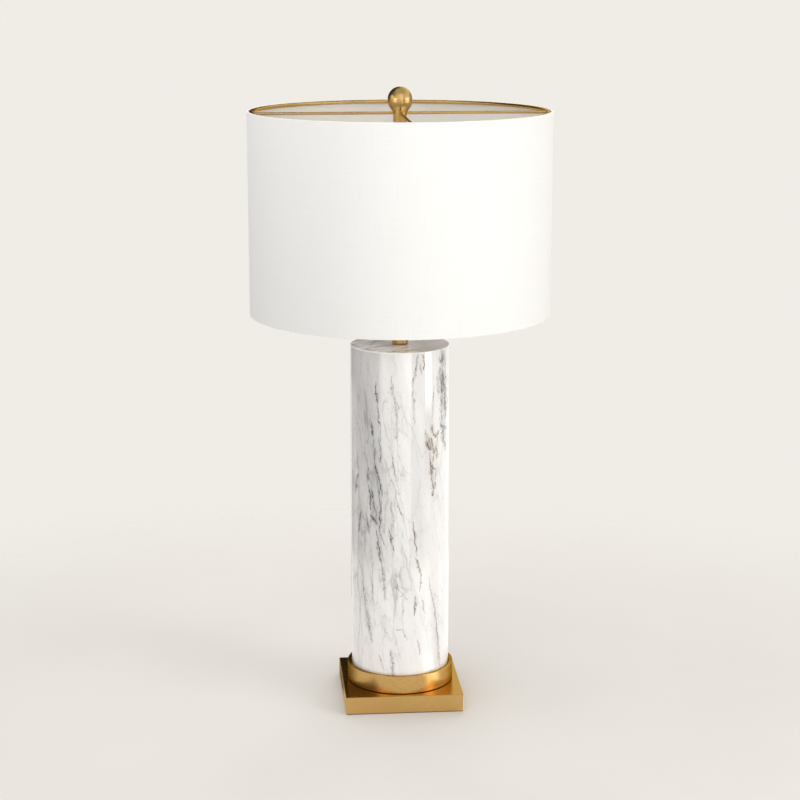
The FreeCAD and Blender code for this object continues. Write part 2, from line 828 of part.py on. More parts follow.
def make_switch_key(switch_radius):
    bushing_front = switch_radius + dim.key_bushing_reach
    running = dim.key_radius + dim.key_gap
    turned(
        "switch_bushing",
        [
            (running, 0),
            (dim.key_bushing, 0),
            (dim.key_bushing, dim.key_bushing_reach),
            (running, dim.key_bushing_reach),
        ],
        y=-switch_radius, z=key_level(), turn=TOWARDS_FRONT,
    )
    knob_back = bushing_front + dim.seat_gap
    shaft_end = knob_back + dim.knob_bore_depth
    node(
        cylinder(
            "key_rod", dim.key_radius, shaft_end - dim.key_root - dim.seat_gap,
            y=-(dim.key_root + dim.seat_gap), z=key_level(), turn=TOWARDS_FRONT,
        ),
        "switch_shaft",
    )
    front_radius = dim.knob_radius - dim.knob_taper
    knob = turned(
        "switch_knob",
        [
            (dim.key_radius, 0),
            (dim.knob_radius, 0),
            (front_radius, dim.knob_length - dim.knob_edge),
            (front_radius - dim.knob_edge, dim.knob_length),
            (0, dim.knob_length),
            (0, dim.knob_bore_depth),
            (dim.key_radius, dim.knob_bore_depth),
        ],
        y=-knob_back, z=key_level(), turn=TOWARDS_FRONT,
    )
    outline = new_sketch(knob, "knob_flute_outline", "XY_Plane")
    circle(outline, dim.knob_radius, 0, dim.knob_flute)
    flute = knob.newObject("PartDesign::Pocket", "knob_flute")
    flute.Profile = outline
    flute.Reversed = True
    bind(flute, "Length", dim.knob_length)
    doc.recompute()
    pattern = knob.newObject("PartDesign::PolarPattern", "knob_flutes")
    pattern.Originals = [flute]
    pattern.Axis = (outline, ["N_Axis"])
    pattern.Angle = 360
    pattern.Occurrences = KNOB_FLUTES
    knob.Tip = pattern


def globe_outline(globe_radius, neck_radius, foot):
    """The outline of the bulb's globe and neck, from the foot of the neck to the crown."""
    flare_cosine = cosine(dim.bulb_flare)
    flare_sine = sine(dim.bulb_flare)
    inward = globe_radius * flare_cosine - neck_radius
    neck_curve = inward / (1 - flare_cosine)
    join_height = dim.bulb_globe_rise - globe_radius * flare_sine
    return [
        (0, foot),
        (neck_radius, foot),
        (neck_radius, join_height - neck_curve * flare_sine, neck_curve, "right"),
        (globe_radius * flare_cosine, join_height, globe_radius, "left"),
        (0, dim.bulb_globe_rise + globe_radius),
    ]


def make_bulb(tip_foot):
    tip_top = tip_foot + dim.bulb_tip_height
    cap_foot = tip_top + dim.bulb_insulator_height
    cap_top = cap_foot + dim.bulb_cap_height
    turned(
        "bulb_contact",
        [
            (0, 0),
            (dim.bulb_tip_radius / 2, 0),
            (dim.bulb_tip_radius, dim.bulb_tip_height),
            (0, dim.bulb_tip_height),
        ],
        z=tip_foot,
    )
    turned(
        "bulb_insulator",
        [
            (0, 0),
            (dim.bulb_tip_radius, 0),
            (dim.bulb_insulator_top, dim.bulb_insulator_height),
            (0, dim.bulb_insulator_height),
        ],
        z=tip_top,
    )
    tube(
        "bulb_cap", dim.bulb_cap_radius, dim.bulb_cap_radius - dim.bulb_cap_wall, dim.bulb_cap_height, cap_foot
    )
    glass_foot = cap_top - dim.bulb_tuck
    neck = dim.bulb_cap_radius - dim.bulb_cap_wall - dim.nest_gap
    glass = turned("bulb_glass", globe_outline(dim.bulb_globe_radius, neck, 0), z=glass_foot)
    inside = new_sketch(glass, "glass_inside", "XZ_Plane")
    wall = dim.bulb_glass_wall
    draw(inside, globe_outline(dim.bulb_globe_radius - wall, neck - wall, wall))
    hollow = glass.newObject("PartDesign::Groove", "glass_hollow")
    hollow.Profile = inside
    hollow.ReferenceAxis = (inside, ["V_Axis"])
    hollow.Angle = 360
    glass.Tip = hollow
    stem_foot = glass_foot + wall
    turned(
        "bulb_stem",
        [
            (0, 0),
            (dim.bulb_stem_foot, 0),
            (dim.bulb_stem_radius, dim.bulb_stem_height / 3),
            (dim.bulb_stem_radius, dim.bulb_stem_height),
            (0, dim.bulb_stem_height),
        ],
        z=stem_foot,
    )
    leads = []
    for side, sign in (("left", -1), ("right", 1)):
        spot = dim.bulb_lead_spread * sign
        foot = stem_foot + dim.bulb_stem_height / 3
        leads.append(
            cylinder(
                f"bulb_lead_{side}", dim.bulb_lead_radius,
                dim.bulb_lead_height - dim.bulb_stem_height / 3, x=spot, z=foot,
            )
        )
    node(group("bulb_lead_pair", leads), "bulb_leads")
    node(
        cylinder(
            "filament_rod", dim.bulb_filament_radius, (dim.bulb_lead_spread + dim.bulb_lead_radius) * 2,
            x=-(dim.bulb_lead_spread + dim.bulb_lead_radius),
            z=stem_foot + dim.bulb_lead_height + dim.bulb_filament_radius, turn=TOWARDS_RIGHT,
        ),
        "bulb_filament",
    )


def ring(name, radius, wire, level):
    torus = doc.addObject("Part::Torus", name)
    bind(torus, "Radius1", radius)
    bind(torus, "Radius2", wire)
    place(torus, z=level)
    return torus


def make_shade_parts():
    fabric_inner = dim.shade_radius - dim.fabric_thick
    liner_outer = fabric_inner - dim.liner_fit
    liner_inner = liner_outer - dim.liner_thick
    hem_inner = liner_inner - dim.liner_fit - dim.hem_thick
    hem_outer = liner_inner - dim.liner_fit
    fold = dim.hem_thick + dim.liner_fit
    height = dim.shade_height
    turned(
        "shade_fabric",
        [
            (hem_inner, 0),
            (dim.shade_radius, 0),
            (dim.shade_radius, height),
            (hem_inner, height),
            (hem_inner, height - dim.hem_depth),
            (hem_outer, height - dim.hem_depth),
            (hem_outer, height - dim.hem_thick),
            (fabric_inner, height - dim.hem_thick),
            (fabric_inner, dim.hem_thick),
            (hem_outer, dim.hem_thick),
            (hem_outer, dim.hem_depth),
            (hem_inner, dim.hem_depth),
        ],
        z=shade_foot,
    )
    tube("shade_liner", liner_outer, liner_inner, height - fold * 2, shade_foot + fold)

    ring_radius = hem_inner - dim.ring_fit - dim.ring_wire
    node(ring("top_ring_torus", ring_radius, dim.ring_wire, ring_level), "shade_top_ring")
    bottom_radius = hem_inner - dim.ring_fit - dim.bottom_ring_wire
    bottom_level = shade_foot + dim.bottom_ring_rise
    node(ring("bottom_ring_torus", bottom_radius, dim.bottom_ring_wire, bottom_level), "shade_bottom_ring")

    bore = dim.stud_radius + dim.hub_bore_gap
    turned(
        "shade_hub",
        [(bore, 0), (dim.hub_radius, 0), (dim.hub_radius, dim.hub_height), (bore, dim.hub_height)],
        z=hub_foot,
    )
    reach = ring_radius - dim.ring_wire / 2
    rods = []
    for number in range(1, 5):
        turn = FreeCAD.Rotation(FreeCAD.Vector(0, 0, 1), 90 * number).multiply(TOWARDS_RIGHT)
        rods.append(cylinder(f"arm_rod_{number}", dim.arm_wire, reach, z=arm_level, turn=turn))
    hub_space = cylinder("arm_hub_space", dim.hub_radius, dim.hub_height, z=hub_foot)
    ring_space = ring("arm_ring_space", ring_radius, dim.ring_wire, ring_level)
    stops = fuse("arm_stops", [hub_space, ring_space])
    node(cut("arm_cut", fuse("arm_cross", rods), stops), "shade_arms")


def make_finial():
    ball = dim.finial_ball
    rise = dim.finial_rise - dim.seat_gap
    girdle = rise - dim.finial_girdle
    shoulder = dim.finial_shoulder
    waist_radius = ball - shoulder * (1 - cosine(dim.finial_turn))
    waist_height = girdle - shoulder * sine(dim.finial_turn)
    hole = dim.stud_radius + dim.finial_hole_gap
    depth = dim.stud_reach + dim.finial_hole_spare
    turned(
        "finial",
        [
            (hole, 0),
            (dim.finial_foot_radius, 0),
            (dim.finial_foot_radius, dim.finial_lip),
            (waist_radius, waist_height, shoulder, "left"),
            (ball, girdle),
            (ball, rise, ball, "left"),
            (0, rise + ball),
            (0, depth),
            (hole, depth),
        ],
        z=finial_foot,
    )


make_base_parts()
make_column_parts()
make_stack_parts()
make_harp_parts()
make_socket_parts()
make_shade_parts()
make_finial()
doc.recompute()

for item in doc.Objects:
    for state in ("Invalid", "Error"):
        if state in item.State:
            raise RuntimeError(f"{item.Label} is {state}")
for item in nodes:
    if item.Shape.isNull() or not item.Shape.isValid():
        raise RuntimeError(f"{item.Label} has no valid shape")

os.makedirs("parts", exist_ok=True)
for item in nodes:
    item.Shape.exportStep(f"parts/{item.Label}.step")
    box = item.Shape.optimalBoundingBox()
    count = len(item.Shape.Solids)
    print(f"{item.Label}: {count} solid, z {box.ZMin:.2f} to {box.ZMax:.2f}, {item.Shape.Volume:.0f} mm3")
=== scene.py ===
import math

import bpy
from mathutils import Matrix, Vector


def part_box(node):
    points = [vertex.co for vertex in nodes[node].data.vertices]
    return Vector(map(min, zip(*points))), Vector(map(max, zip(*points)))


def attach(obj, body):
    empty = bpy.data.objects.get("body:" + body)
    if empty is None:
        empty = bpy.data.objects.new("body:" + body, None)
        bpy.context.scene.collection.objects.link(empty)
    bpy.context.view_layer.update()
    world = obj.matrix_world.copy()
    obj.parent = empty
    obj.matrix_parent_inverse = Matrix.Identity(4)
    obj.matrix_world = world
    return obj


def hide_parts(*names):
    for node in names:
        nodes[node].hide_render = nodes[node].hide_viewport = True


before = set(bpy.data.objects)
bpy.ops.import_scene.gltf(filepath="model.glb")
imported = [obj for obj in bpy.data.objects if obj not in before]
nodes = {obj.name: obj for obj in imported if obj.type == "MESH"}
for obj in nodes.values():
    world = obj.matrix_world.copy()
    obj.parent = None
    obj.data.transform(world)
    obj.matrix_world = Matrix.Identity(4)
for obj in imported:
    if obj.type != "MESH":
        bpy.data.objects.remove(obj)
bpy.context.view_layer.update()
mm = 0.001  # lengths are metres from here on


# selecting and finishing


def deselectAll():
    bpy.ops.object.select_all(action="DESELECT")


def focus(obj):
    deselectAll()
    obj.select_set(True)
    bpy.context.view_layer.objects.active = obj


def pick(obj, kind, isChosen):
    # kind is FACE or EDGE; it leaves the piece in edit mode
    focus(obj)
    mesh = obj.data
    for part in (*mesh.vertices, *mesh.edges, *mesh.polygons):
        part.select = False
    for part in mesh.polygons if kind == "FACE" else mesh.edges:
        part.select = isChosen(part)
    bpy.ops.object.mode_set(mode="EDIT")
    bpy.ops.mesh.select_mode(type=kind)


def edgeEnds(obj, edge):
    return [obj.data.vertices[number].co for number in edge.vertices]


def objectMode():
    bpy.ops.object.mode_set(mode="OBJECT")


def dropFaces(obj, isChosen):
    pick(obj, "FACE", isChosen)
    bpy.ops.mesh.delete(type="FACE")
    objectMode()


def addModifier(obj, kind, **settings):
    modifier = obj.modifiers.new(kind.lower(), kind)
    for key, value in settings.items():
        setattr(modifier, key, value)
    focus(obj)
    bpy.ops.object.modifier_apply(modifier=modifier.name)


def applyTransform(obj):
    focus(obj)
    bpy.ops.object.transform_apply(location=True, rotation=True, scale=True)


def settle(obj, smoothAngle=40):
    applyTransform(obj)
    bpy.ops.object.shade_smooth_by_angle(angle=math.radians(smoothAngle))


def tubeWall(name, radius, low, high, segments):
    deselectAll()
    bpy.ops.mesh.primitive_cylinder_add(
        vertices=segments,
        radius=radius,
        depth=high - low,
        end_fill_type="NOTHING",
        location=(0, 0, (low + high) / 2),
    )
    obj = bpy.context.active_object
    obj.name = name
    obj.data.name = name
    applyTransform(obj)
    return obj


# shader helpers


def feed(tree, socket, source):
    if isinstance(source, bpy.types.NodeSocket):
        tree.links.new(source, socket)
    else:
        socket.default_value = source


def plug(tree, node, **sources):
    # each socket by its name, with an underscore for a space
    for name, source in sources.items():
        feed(tree, node.inputs[name.replace("_", " ")], source)


def maths(tree, operation, first, second=0.0, third=0.0, clamp=False):
    node = tree.nodes.new("ShaderNodeMath")
    node.operation = operation
    node.use_clamp = clamp
    for socket, source in zip(node.inputs, (first, second, third)):
        feed(tree, socket, source)
    return node.outputs[0]


def add(tree, first, second, clamp=False):
    return maths(tree, "ADD", first, second, clamp=clamp)


def product(tree, total, *others):
    for other in others:
        total = maths(tree, "MULTIPLY", total, other)
    return total


def oneMinus(tree, value):
    return maths(tree, "SUBTRACT", 1.0, value)


def vectorMaths(tree, operation, first, second=(0, 0, 0), scale=1.0):
    node = tree.nodes.new("ShaderNodeVectorMath")
    node.operation = operation
    feed(tree, node.inputs[0], first)
    feed(tree, node.inputs[1], second)
    feed(tree, node.inputs[3], scale)
    # a plain number comes out of the second output
    return node.outputs[1 if operation in ("LENGTH", "DISTANCE", "DOT_PRODUCT") else 0]


def stretched(tree, vector, stretch):
    return vectorMaths(tree, "MULTIPLY", vector, stretch)


def mix(tree, factor, first, second, kind="RGBA", blend="MIX"):
    node = tree.nodes.new("ShaderNodeMix")
    node.data_type = kind
    node.blend_type = blend
    plug(tree, node, Factor=factor, A=first, B=second)
    return node.outputs["Result"]


def ramp(tree, value, low, high, out=(0.0, 1.0), smooth=True):
    node = tree.nodes.new("ShaderNodeMapRange")
    node.interpolation_type = "SMOOTHSTEP" if smooth else "LINEAR"
    node.clamp = not smooth  # a smooth ramp stays between its ends anyway
    plug(tree, node, Value=value, From_Min=low, From_Max=high, To_Min=out[0], To_Max=out[1])
    return node.outputs["Result"]


def overlap(tree, first, firstRange, second, secondRange):
    return product(tree, ramp(tree, first, *firstRange), ramp(tree, second, *secondRange))


def hump(tree, value, rise, fall):
    # up over the first pair of values and down over the second
    return overlap(tree, value, rise, value, fall)


def noise(tree, vector, scale, detail, roughness, output="Fac"):
    node = tree.nodes.new("ShaderNodeTexNoise")
    plug(tree, node, Vector=vector, Scale=scale, Detail=detail, Roughness=roughness)
    return node.outputs[output]


def splitVector(tree, vector):
    node = tree.nodes.new("ShaderNodeSeparateXYZ")
    feed(tree, node.inputs[0], vector)
    return node.outputs


def joinVector(tree, x, y, z):
    node = tree.nodes.new("ShaderNodeCombineXYZ")
    for socket, source in zip(node.inputs, (x, y, z)):
        feed(tree, socket, source)
    return node.outputs[0]


def joinSame(tree, value):
    return joinVector(tree, value, value, value)


def newGroup(name, inputs, outputs):
    # inputs and outputs give each socket's name and kind
    tree = bpy.data.node_groups.new(name, "ShaderNodeTree")
    for side, sockets in (("INPUT", inputs), ("OUTPUT", outputs)):
        for socketName, kind in sockets.items():
            tree.interface.new_socket(
                name=socketName, in_out=side, socket_type="NodeSocket" + kind
            )
    return tree, tree.nodes.new("NodeGroupInput").outputs, tree.nodes.new("NodeGroupOutput")


def useGroup(tree, group, **sources):
    node = tree.nodes.new("ShaderNodeGroup")
    node.node_tree = group
    plug(tree, node, **sources)
    return node.outputs


def bump(tree, height, strength, distance):
    node = tree.nodes.new("ShaderNodeBump")
    plug(tree, node, Height=height, Strength=strength, Distance=distance)
    return node.outputs["Normal"]


def newMaterial(name, **plain):
    material = bpy.data.materials.new(name)
    material.use_nodes = True
    tree = material.node_tree
    shader = tree.nodes["Principled BSDF"]
    plug(tree, shader, **plain)
    place = tree.nodes.new("ShaderNodeTexCoord").outputs["Object"]
    return material, tree, shader, place


def showMixed(tree, share, first, second):
    # the surface is the first shader where the share is 0 and the second where it is 1
    blend = tree.nodes.new("ShaderNodeMixShader")
    for socket, source in zip(blend.inputs, (share, first, second)):
        feed(tree, socket, source)
    plug(tree, tree.nodes["Material Output"], Surface=blend.outputs[0])


# groups that several materials share


def frontWay(tree, x, y):
    # radians round the axis from the front, right is positive
    return maths(tree, "ARCTAN2", x, product(tree, y, -1.0))


def makeWrapGroup():
    # a place on a round piece as way round from the front, height and distance from the axis;
    # it joins at the back
    tree, into, out = newGroup("aroundColumn", {"Vector": "Vector"}, {"Wrapped": "Vector"})
    x, y, z = splitVector(tree, into["Vector"])
    radius = vectorMaths(tree, "LENGTH", joinVector(tree, x, y, 0.0))
    arc = product(tree, frontWay(tree, x, y), radius)
    plug(tree, out, Wrapped=joinVector(tree, arc, z, radius))
    return tree


def makeGrainGroup():
    # long scratches or streaks: Stretch is how many there are in a metre along each axis
    tree, into, out = newGroup(
        "brushedGrain",
        {"Vector": "Vector", "Stretch": "Vector", "Contrast": "Float"},
        {"Grain": "Float"},
    )
    scaled = stretched(tree, into["Vector"], into["Stretch"])
    fine = noise(tree, scaled, scale=1.0, detail=4.0, roughness=0.6)
    spread = product(tree, maths(tree, "SUBTRACT", fine, 0.5), into["Contrast"])
    plug(tree, out, Grain=add(tree, spread, 0.5, clamp=True))
    return tree


def makePatinaGroup():
    # soft uneven patches, for handling marks, dust and tone
    tree, into, out = newGroup(
        "patina",
        {"Vector": "Vector", "Size": "Float", "Low": "Float", "High": "Float"},
        {"Mask": "Float"},
    )
    scale = maths(tree, "DIVIDE", 1.0, into["Size"])
    cloud = noise(tree, into["Vector"], scale, detail=5.0, roughness=0.55)
    plug(tree, out, Mask=ramp(tree, cloud, into["Low"], into["High"]))
    return tree


# how much finer each step is than the first, and its share of the amount
swaySteps = [(1.0, 1.0), (4.3, 0.4), (13.0, 0.11)]


def makeSwayGroup():
    # pushes a place about, broadly and then ever more finely, so that lines through it wander
    tree, into, out = newGroup(
        "sway",
        {"Vector": "Vector", "Scale": "Float", "Amount": "Float", "Seed": "Float"},
        {"Vector": "Vector"},
    )
    seeded = vectorMaths(tree, "ADD", into["Vector"], joinSame(tree, into["Seed"]))
    total = into["Vector"]
    for finer, share in swaySteps:
        scale = product(tree, into["Scale"], finer)
        drift = noise(tree, seeded, scale, detail=2.0, roughness=0.5, output="Color")
        push = vectorMaths(tree, "SUBTRACT", drift, (0.5, 0.5, 0.5))
        amount = product(tree, into["Amount"], share)
        total = vectorMaths(tree, "ADD", total, vectorMaths(tree, "SCALE", push, scale=amount))
    plug(tree, out, Vector=total)
    return tree


def makeBearingGroup():
    # the way round the lamp in degrees, seen from above: the camera is zero, its right positive
    tree, into, out = newGroup(
        "bearing", {"Vector": "Vector", "Turn": "Float"}, {"Way": "Float"}
    )
    x, y, _ = splitVector(tree, into["Vector"])
    way = maths(tree, "DEGREES", frontWay(tree, x, y))
    shifted = maths(tree, "SUBTRACT", way, into["Turn"])
    plug(tree, out, Way=maths(tree, "WRAP", shifted, 180.0, -180.0))
    return tree


veins = {
    "swayScale": 0.9,
    "haloWidth": 6.0,
    "unevenScale": 2.3,
    "unevenWidth": (0.35, 0.7, (0.25, 1.7)),
    "patchScale": 1.1,
    "patchEdge": 0.09,
}


def makeVeinGroup():
    # a web of thin wandering lines, thick here and faint there, with a haze beside them
    tree, into, out = newGroup(
        "stoneVeins",
        {
            "Vector": "Vector",
            "Stretch": "Vector",
            "Warp": "Float",
            "Width": "Float",
            "Cover": "Float",
            "Seed": "Float",
        },
        {"Vein": "Float", "Halo": "Float"},
    )
    spread = stretched(tree, into["Vector"], into["Stretch"])
    moved = vectorMaths(tree, "ADD", spread, joinSame(tree, into["Seed"]))
    spot = useGroup(
        tree, swayGroup, Vector=moved, Scale=veins["swayScale"], Amount=into["Warp"]
    )["Vector"]
    cells = tree.nodes.new("ShaderNodeTexVoronoi")
    cells.feature = "DISTANCE_TO_EDGE"
    plug(tree, cells, Scale=1.0, Vector=spot)
    edge = cells.outputs["Distance"]
    uneven = noise(tree, moved, veins["unevenScale"], detail=2.0, roughness=0.5)
    width = product(tree, into["Width"], ramp(tree, uneven, *veins["unevenWidth"]))
    line = ramp(tree, edge, width, 0.0)
    halo = ramp(tree, edge, product(tree, width, veins["haloWidth"]), 0.0)
    patches = noise(tree, moved, veins["patchScale"], detail=3.0, roughness=0.5)
    least = oneMinus(tree, into["Cover"])
    low = maths(tree, "SUBTRACT", least, veins["patchEdge"])
    cover = ramp(tree, patches, low, add(tree, least, veins["patchEdge"]))
    plug(tree, out, Vein=product(tree, line, cover), Halo=product(tree, halo, cover))
    return tree


# shares of a stroke's half width
strokeShape = {
    "ends": 0.3,
    "belly": 3.0,
    "core": (0.7, 0.15),
    "halo": 3.6,
}


def makeStrokeGroup():
    # one vein laid from a place to another on the unrolled column, thin at both ends
    tree, into, out = newGroup(
        "veinStroke",
        {"Flat": "Vector", "From": "Vector", "Along": "Vector", "Half Width": "Float"},
        {"Core": "Float", "Halo": "Float"},
    )
    along = into["Along"]
    reach = vectorMaths(tree, "SUBTRACT", into["Flat"], into["From"])
    dots = [vectorMaths(tree, "DOT_PRODUCT", start, along) for start in (reach, along)]
    share = maths(tree, "MINIMUM", maths(tree, "DIVIDE", *dots), 1.0)
    share = maths(tree, "MAXIMUM", share, 0.0)
    nearest = vectorMaths(tree, "SCALE", along, scale=share)
    off = vectorMaths(tree, "DISTANCE", reach, nearest)
    belly = product(tree, share, oneMinus(tree, share))
    swell = add(tree, product(tree, belly, strokeShape["belly"]), strokeShape["ends"])
    width = product(tree, into["Half Width"], swell)
    core = ramp(tree, off, *(product(tree, width, reach) for reach in strokeShape["core"]))
    halo = ramp(tree, off, product(tree, width, strokeShape["halo"]), 0.0)
    plug(tree, out, Core=core, Halo=halo)
    return tree


wrapGroup = makeWrapGroup()
grainGroup = makeGrainGroup()
patinaGroup = makePatinaGroup()
swayGroup = makeSwayGroup()
bearingGroup = makeBearingGroup()
veinGroup = makeVeinGroup()
strokeGroup = makeStrokeGroup()
print("shader groups ready")


def wrap(tree, place):
    return useGroup(tree, wrapGroup, Vector=place)["Wrapped"]


def grain(tree, place, stretch, contrast):
    spread = useGroup(tree, grainGroup, Vector=place, Stretch=stretch, Contrast=contrast)
    return spread["Grain"]


def patina(tree, place, size, low, high):
    return useGroup(tree, patinaGroup, Vector=place, Size=size, Low=low, High=high)["Mask"]


def bearing(tree, direction):
    # degrees round the lamp from the camera
    return useGroup(tree, bearingGroup, Vector=direction, Turn=camera["turn"])["Way"]


# the dictionaries below give patina as size, low and high, grain as stretch and contrast, a
# bump as strength and height, and a ramp as its two ends and what it puts out at them


# brass


brass = {
    "colour": (0.61, 0.385, 0.138, 1),
    "deep": (0.44, 0.26, 0.08, 1),
    "pale": (0.69, 0.47, 0.2, 1),
    "edge": (0.95, 0.72, 0.38, 1),
    # painted shade: the collar's reflections at grazing are tinted darker, standing in for the
    # darker surroundings at its foot
    "shadedEdgeTint": (0.4, 0.28, 0.13, 1),
    "satinColour": (0.57, 0.385, 0.15, 1),
    # painted shade: a darker copy of the brass colour for the spider arms
    "shadedArmColour": (0.52, 0.335, 0.12, 1),
    "fittingColour": (0.66, 0.48, 0.22, 1),
    # the colour of the painted shade in the joint under the collar
    "jointShade": (0.05, 0.028, 0.012, 1),
    "roughness": (0.17, 0.27),
    "evenness": 0.72,
    "marks": (30 * mm, 0.35, 0.75),
    "markPaling": 0.18,
    "markDulling": 0.05,
    "jointShadeReach": (0.9 * mm, 0.7 * mm),
    "jointShadeDulling": 0.5,
    "bumpHeight": 0.04 * mm,
}


def makeBrass(
    name, stretch, around, colour, roughness,
    contrast=1.2, depth=0.12, joint=None, edge=brass["edge"],
):
    material, tree, shader, place = newMaterial(name, Metallic=1.0, Specular_Tint=edge)
    lines = grain(tree, wrap(tree, place) if around else place, stretch, contrast)
    marks = patina(tree, place, *brass["marks"])
    tone = mix(tree, lines, brass["deep"], colour)
    tone = mix(tree, brass["evenness"], tone, colour)
    tone = mix(tree, product(tree, marks, brass["markPaling"]), tone, brass["pale"])
    rough = ramp(tree, lines, 0.0, 1.0, roughness, smooth=False)
    rough = add(tree, rough, product(tree, marks, brass["markDulling"]))
    if joint:
        # painted shade: the colour darkens in the joint just above the piece below, and its
        # roughness is duller there
        _, _, z = splitVector(tree, place)
        jointShade = ramp(tree, z, *(joint + reach for reach in brass["jointShadeReach"]))
        tone = mix(tree, jointShade, tone, brass["jointShade"])
        rough = add(tree, rough, product(tree, jointShade, brass["jointShadeDulling"]))
    normal = bump(tree, lines, depth, brass["bumpHeight"])
    plug(tree, shader, Base_Color=tone, Roughness=rough, Normal=normal)
    return material


# the numbers are scratches in a metre along each axis; True lays them round the lamp's axis
plateBrass = makeBrass(
    "plateBrass", (14, 2600, 2600), False, brass["colour"], brass["roughness"]
)
turnedBrass = makeBrass(
    "turnedBrass", (14, 2600, 200), True, brass["colour"], brass["roughness"]
)
collarBrass = makeBrass(
    "collarBrass", (9, 3600, 200), True, brass["colour"], (0.2, 0.3),
    depth=0.05, joint=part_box("base_plate")[1].z, edge=brass["shadedEdgeTint"],
)
satinBrass = makeBrass(
    "satinBrass", (500, 1600, 900), True, brass["satinColour"], (0.21, 0.3), contrast=1.4
)
wireBrass = makeBrass(
    "wireBrass", (1200, 1200, 1200), False, brass["colour"], (0.22, 0.3),
    contrast=0.8, depth=0.02,
)
# painted shade: the spider arms get the wire brass in a darker colour
shadedArmBrass = makeBrass(
    "shadedArmBrass", (1200, 1200, 1200), False, brass["shadedArmColour"], (0.22, 0.3),
    contrast=0.8, depth=0.02,
)
fittingBrass = makeBrass(
    "fittingBrass", (30, 1800, 200), True, brass["fittingColour"], (0.16, 0.26), contrast=0.8
)
print("brass ready")


# white column stone


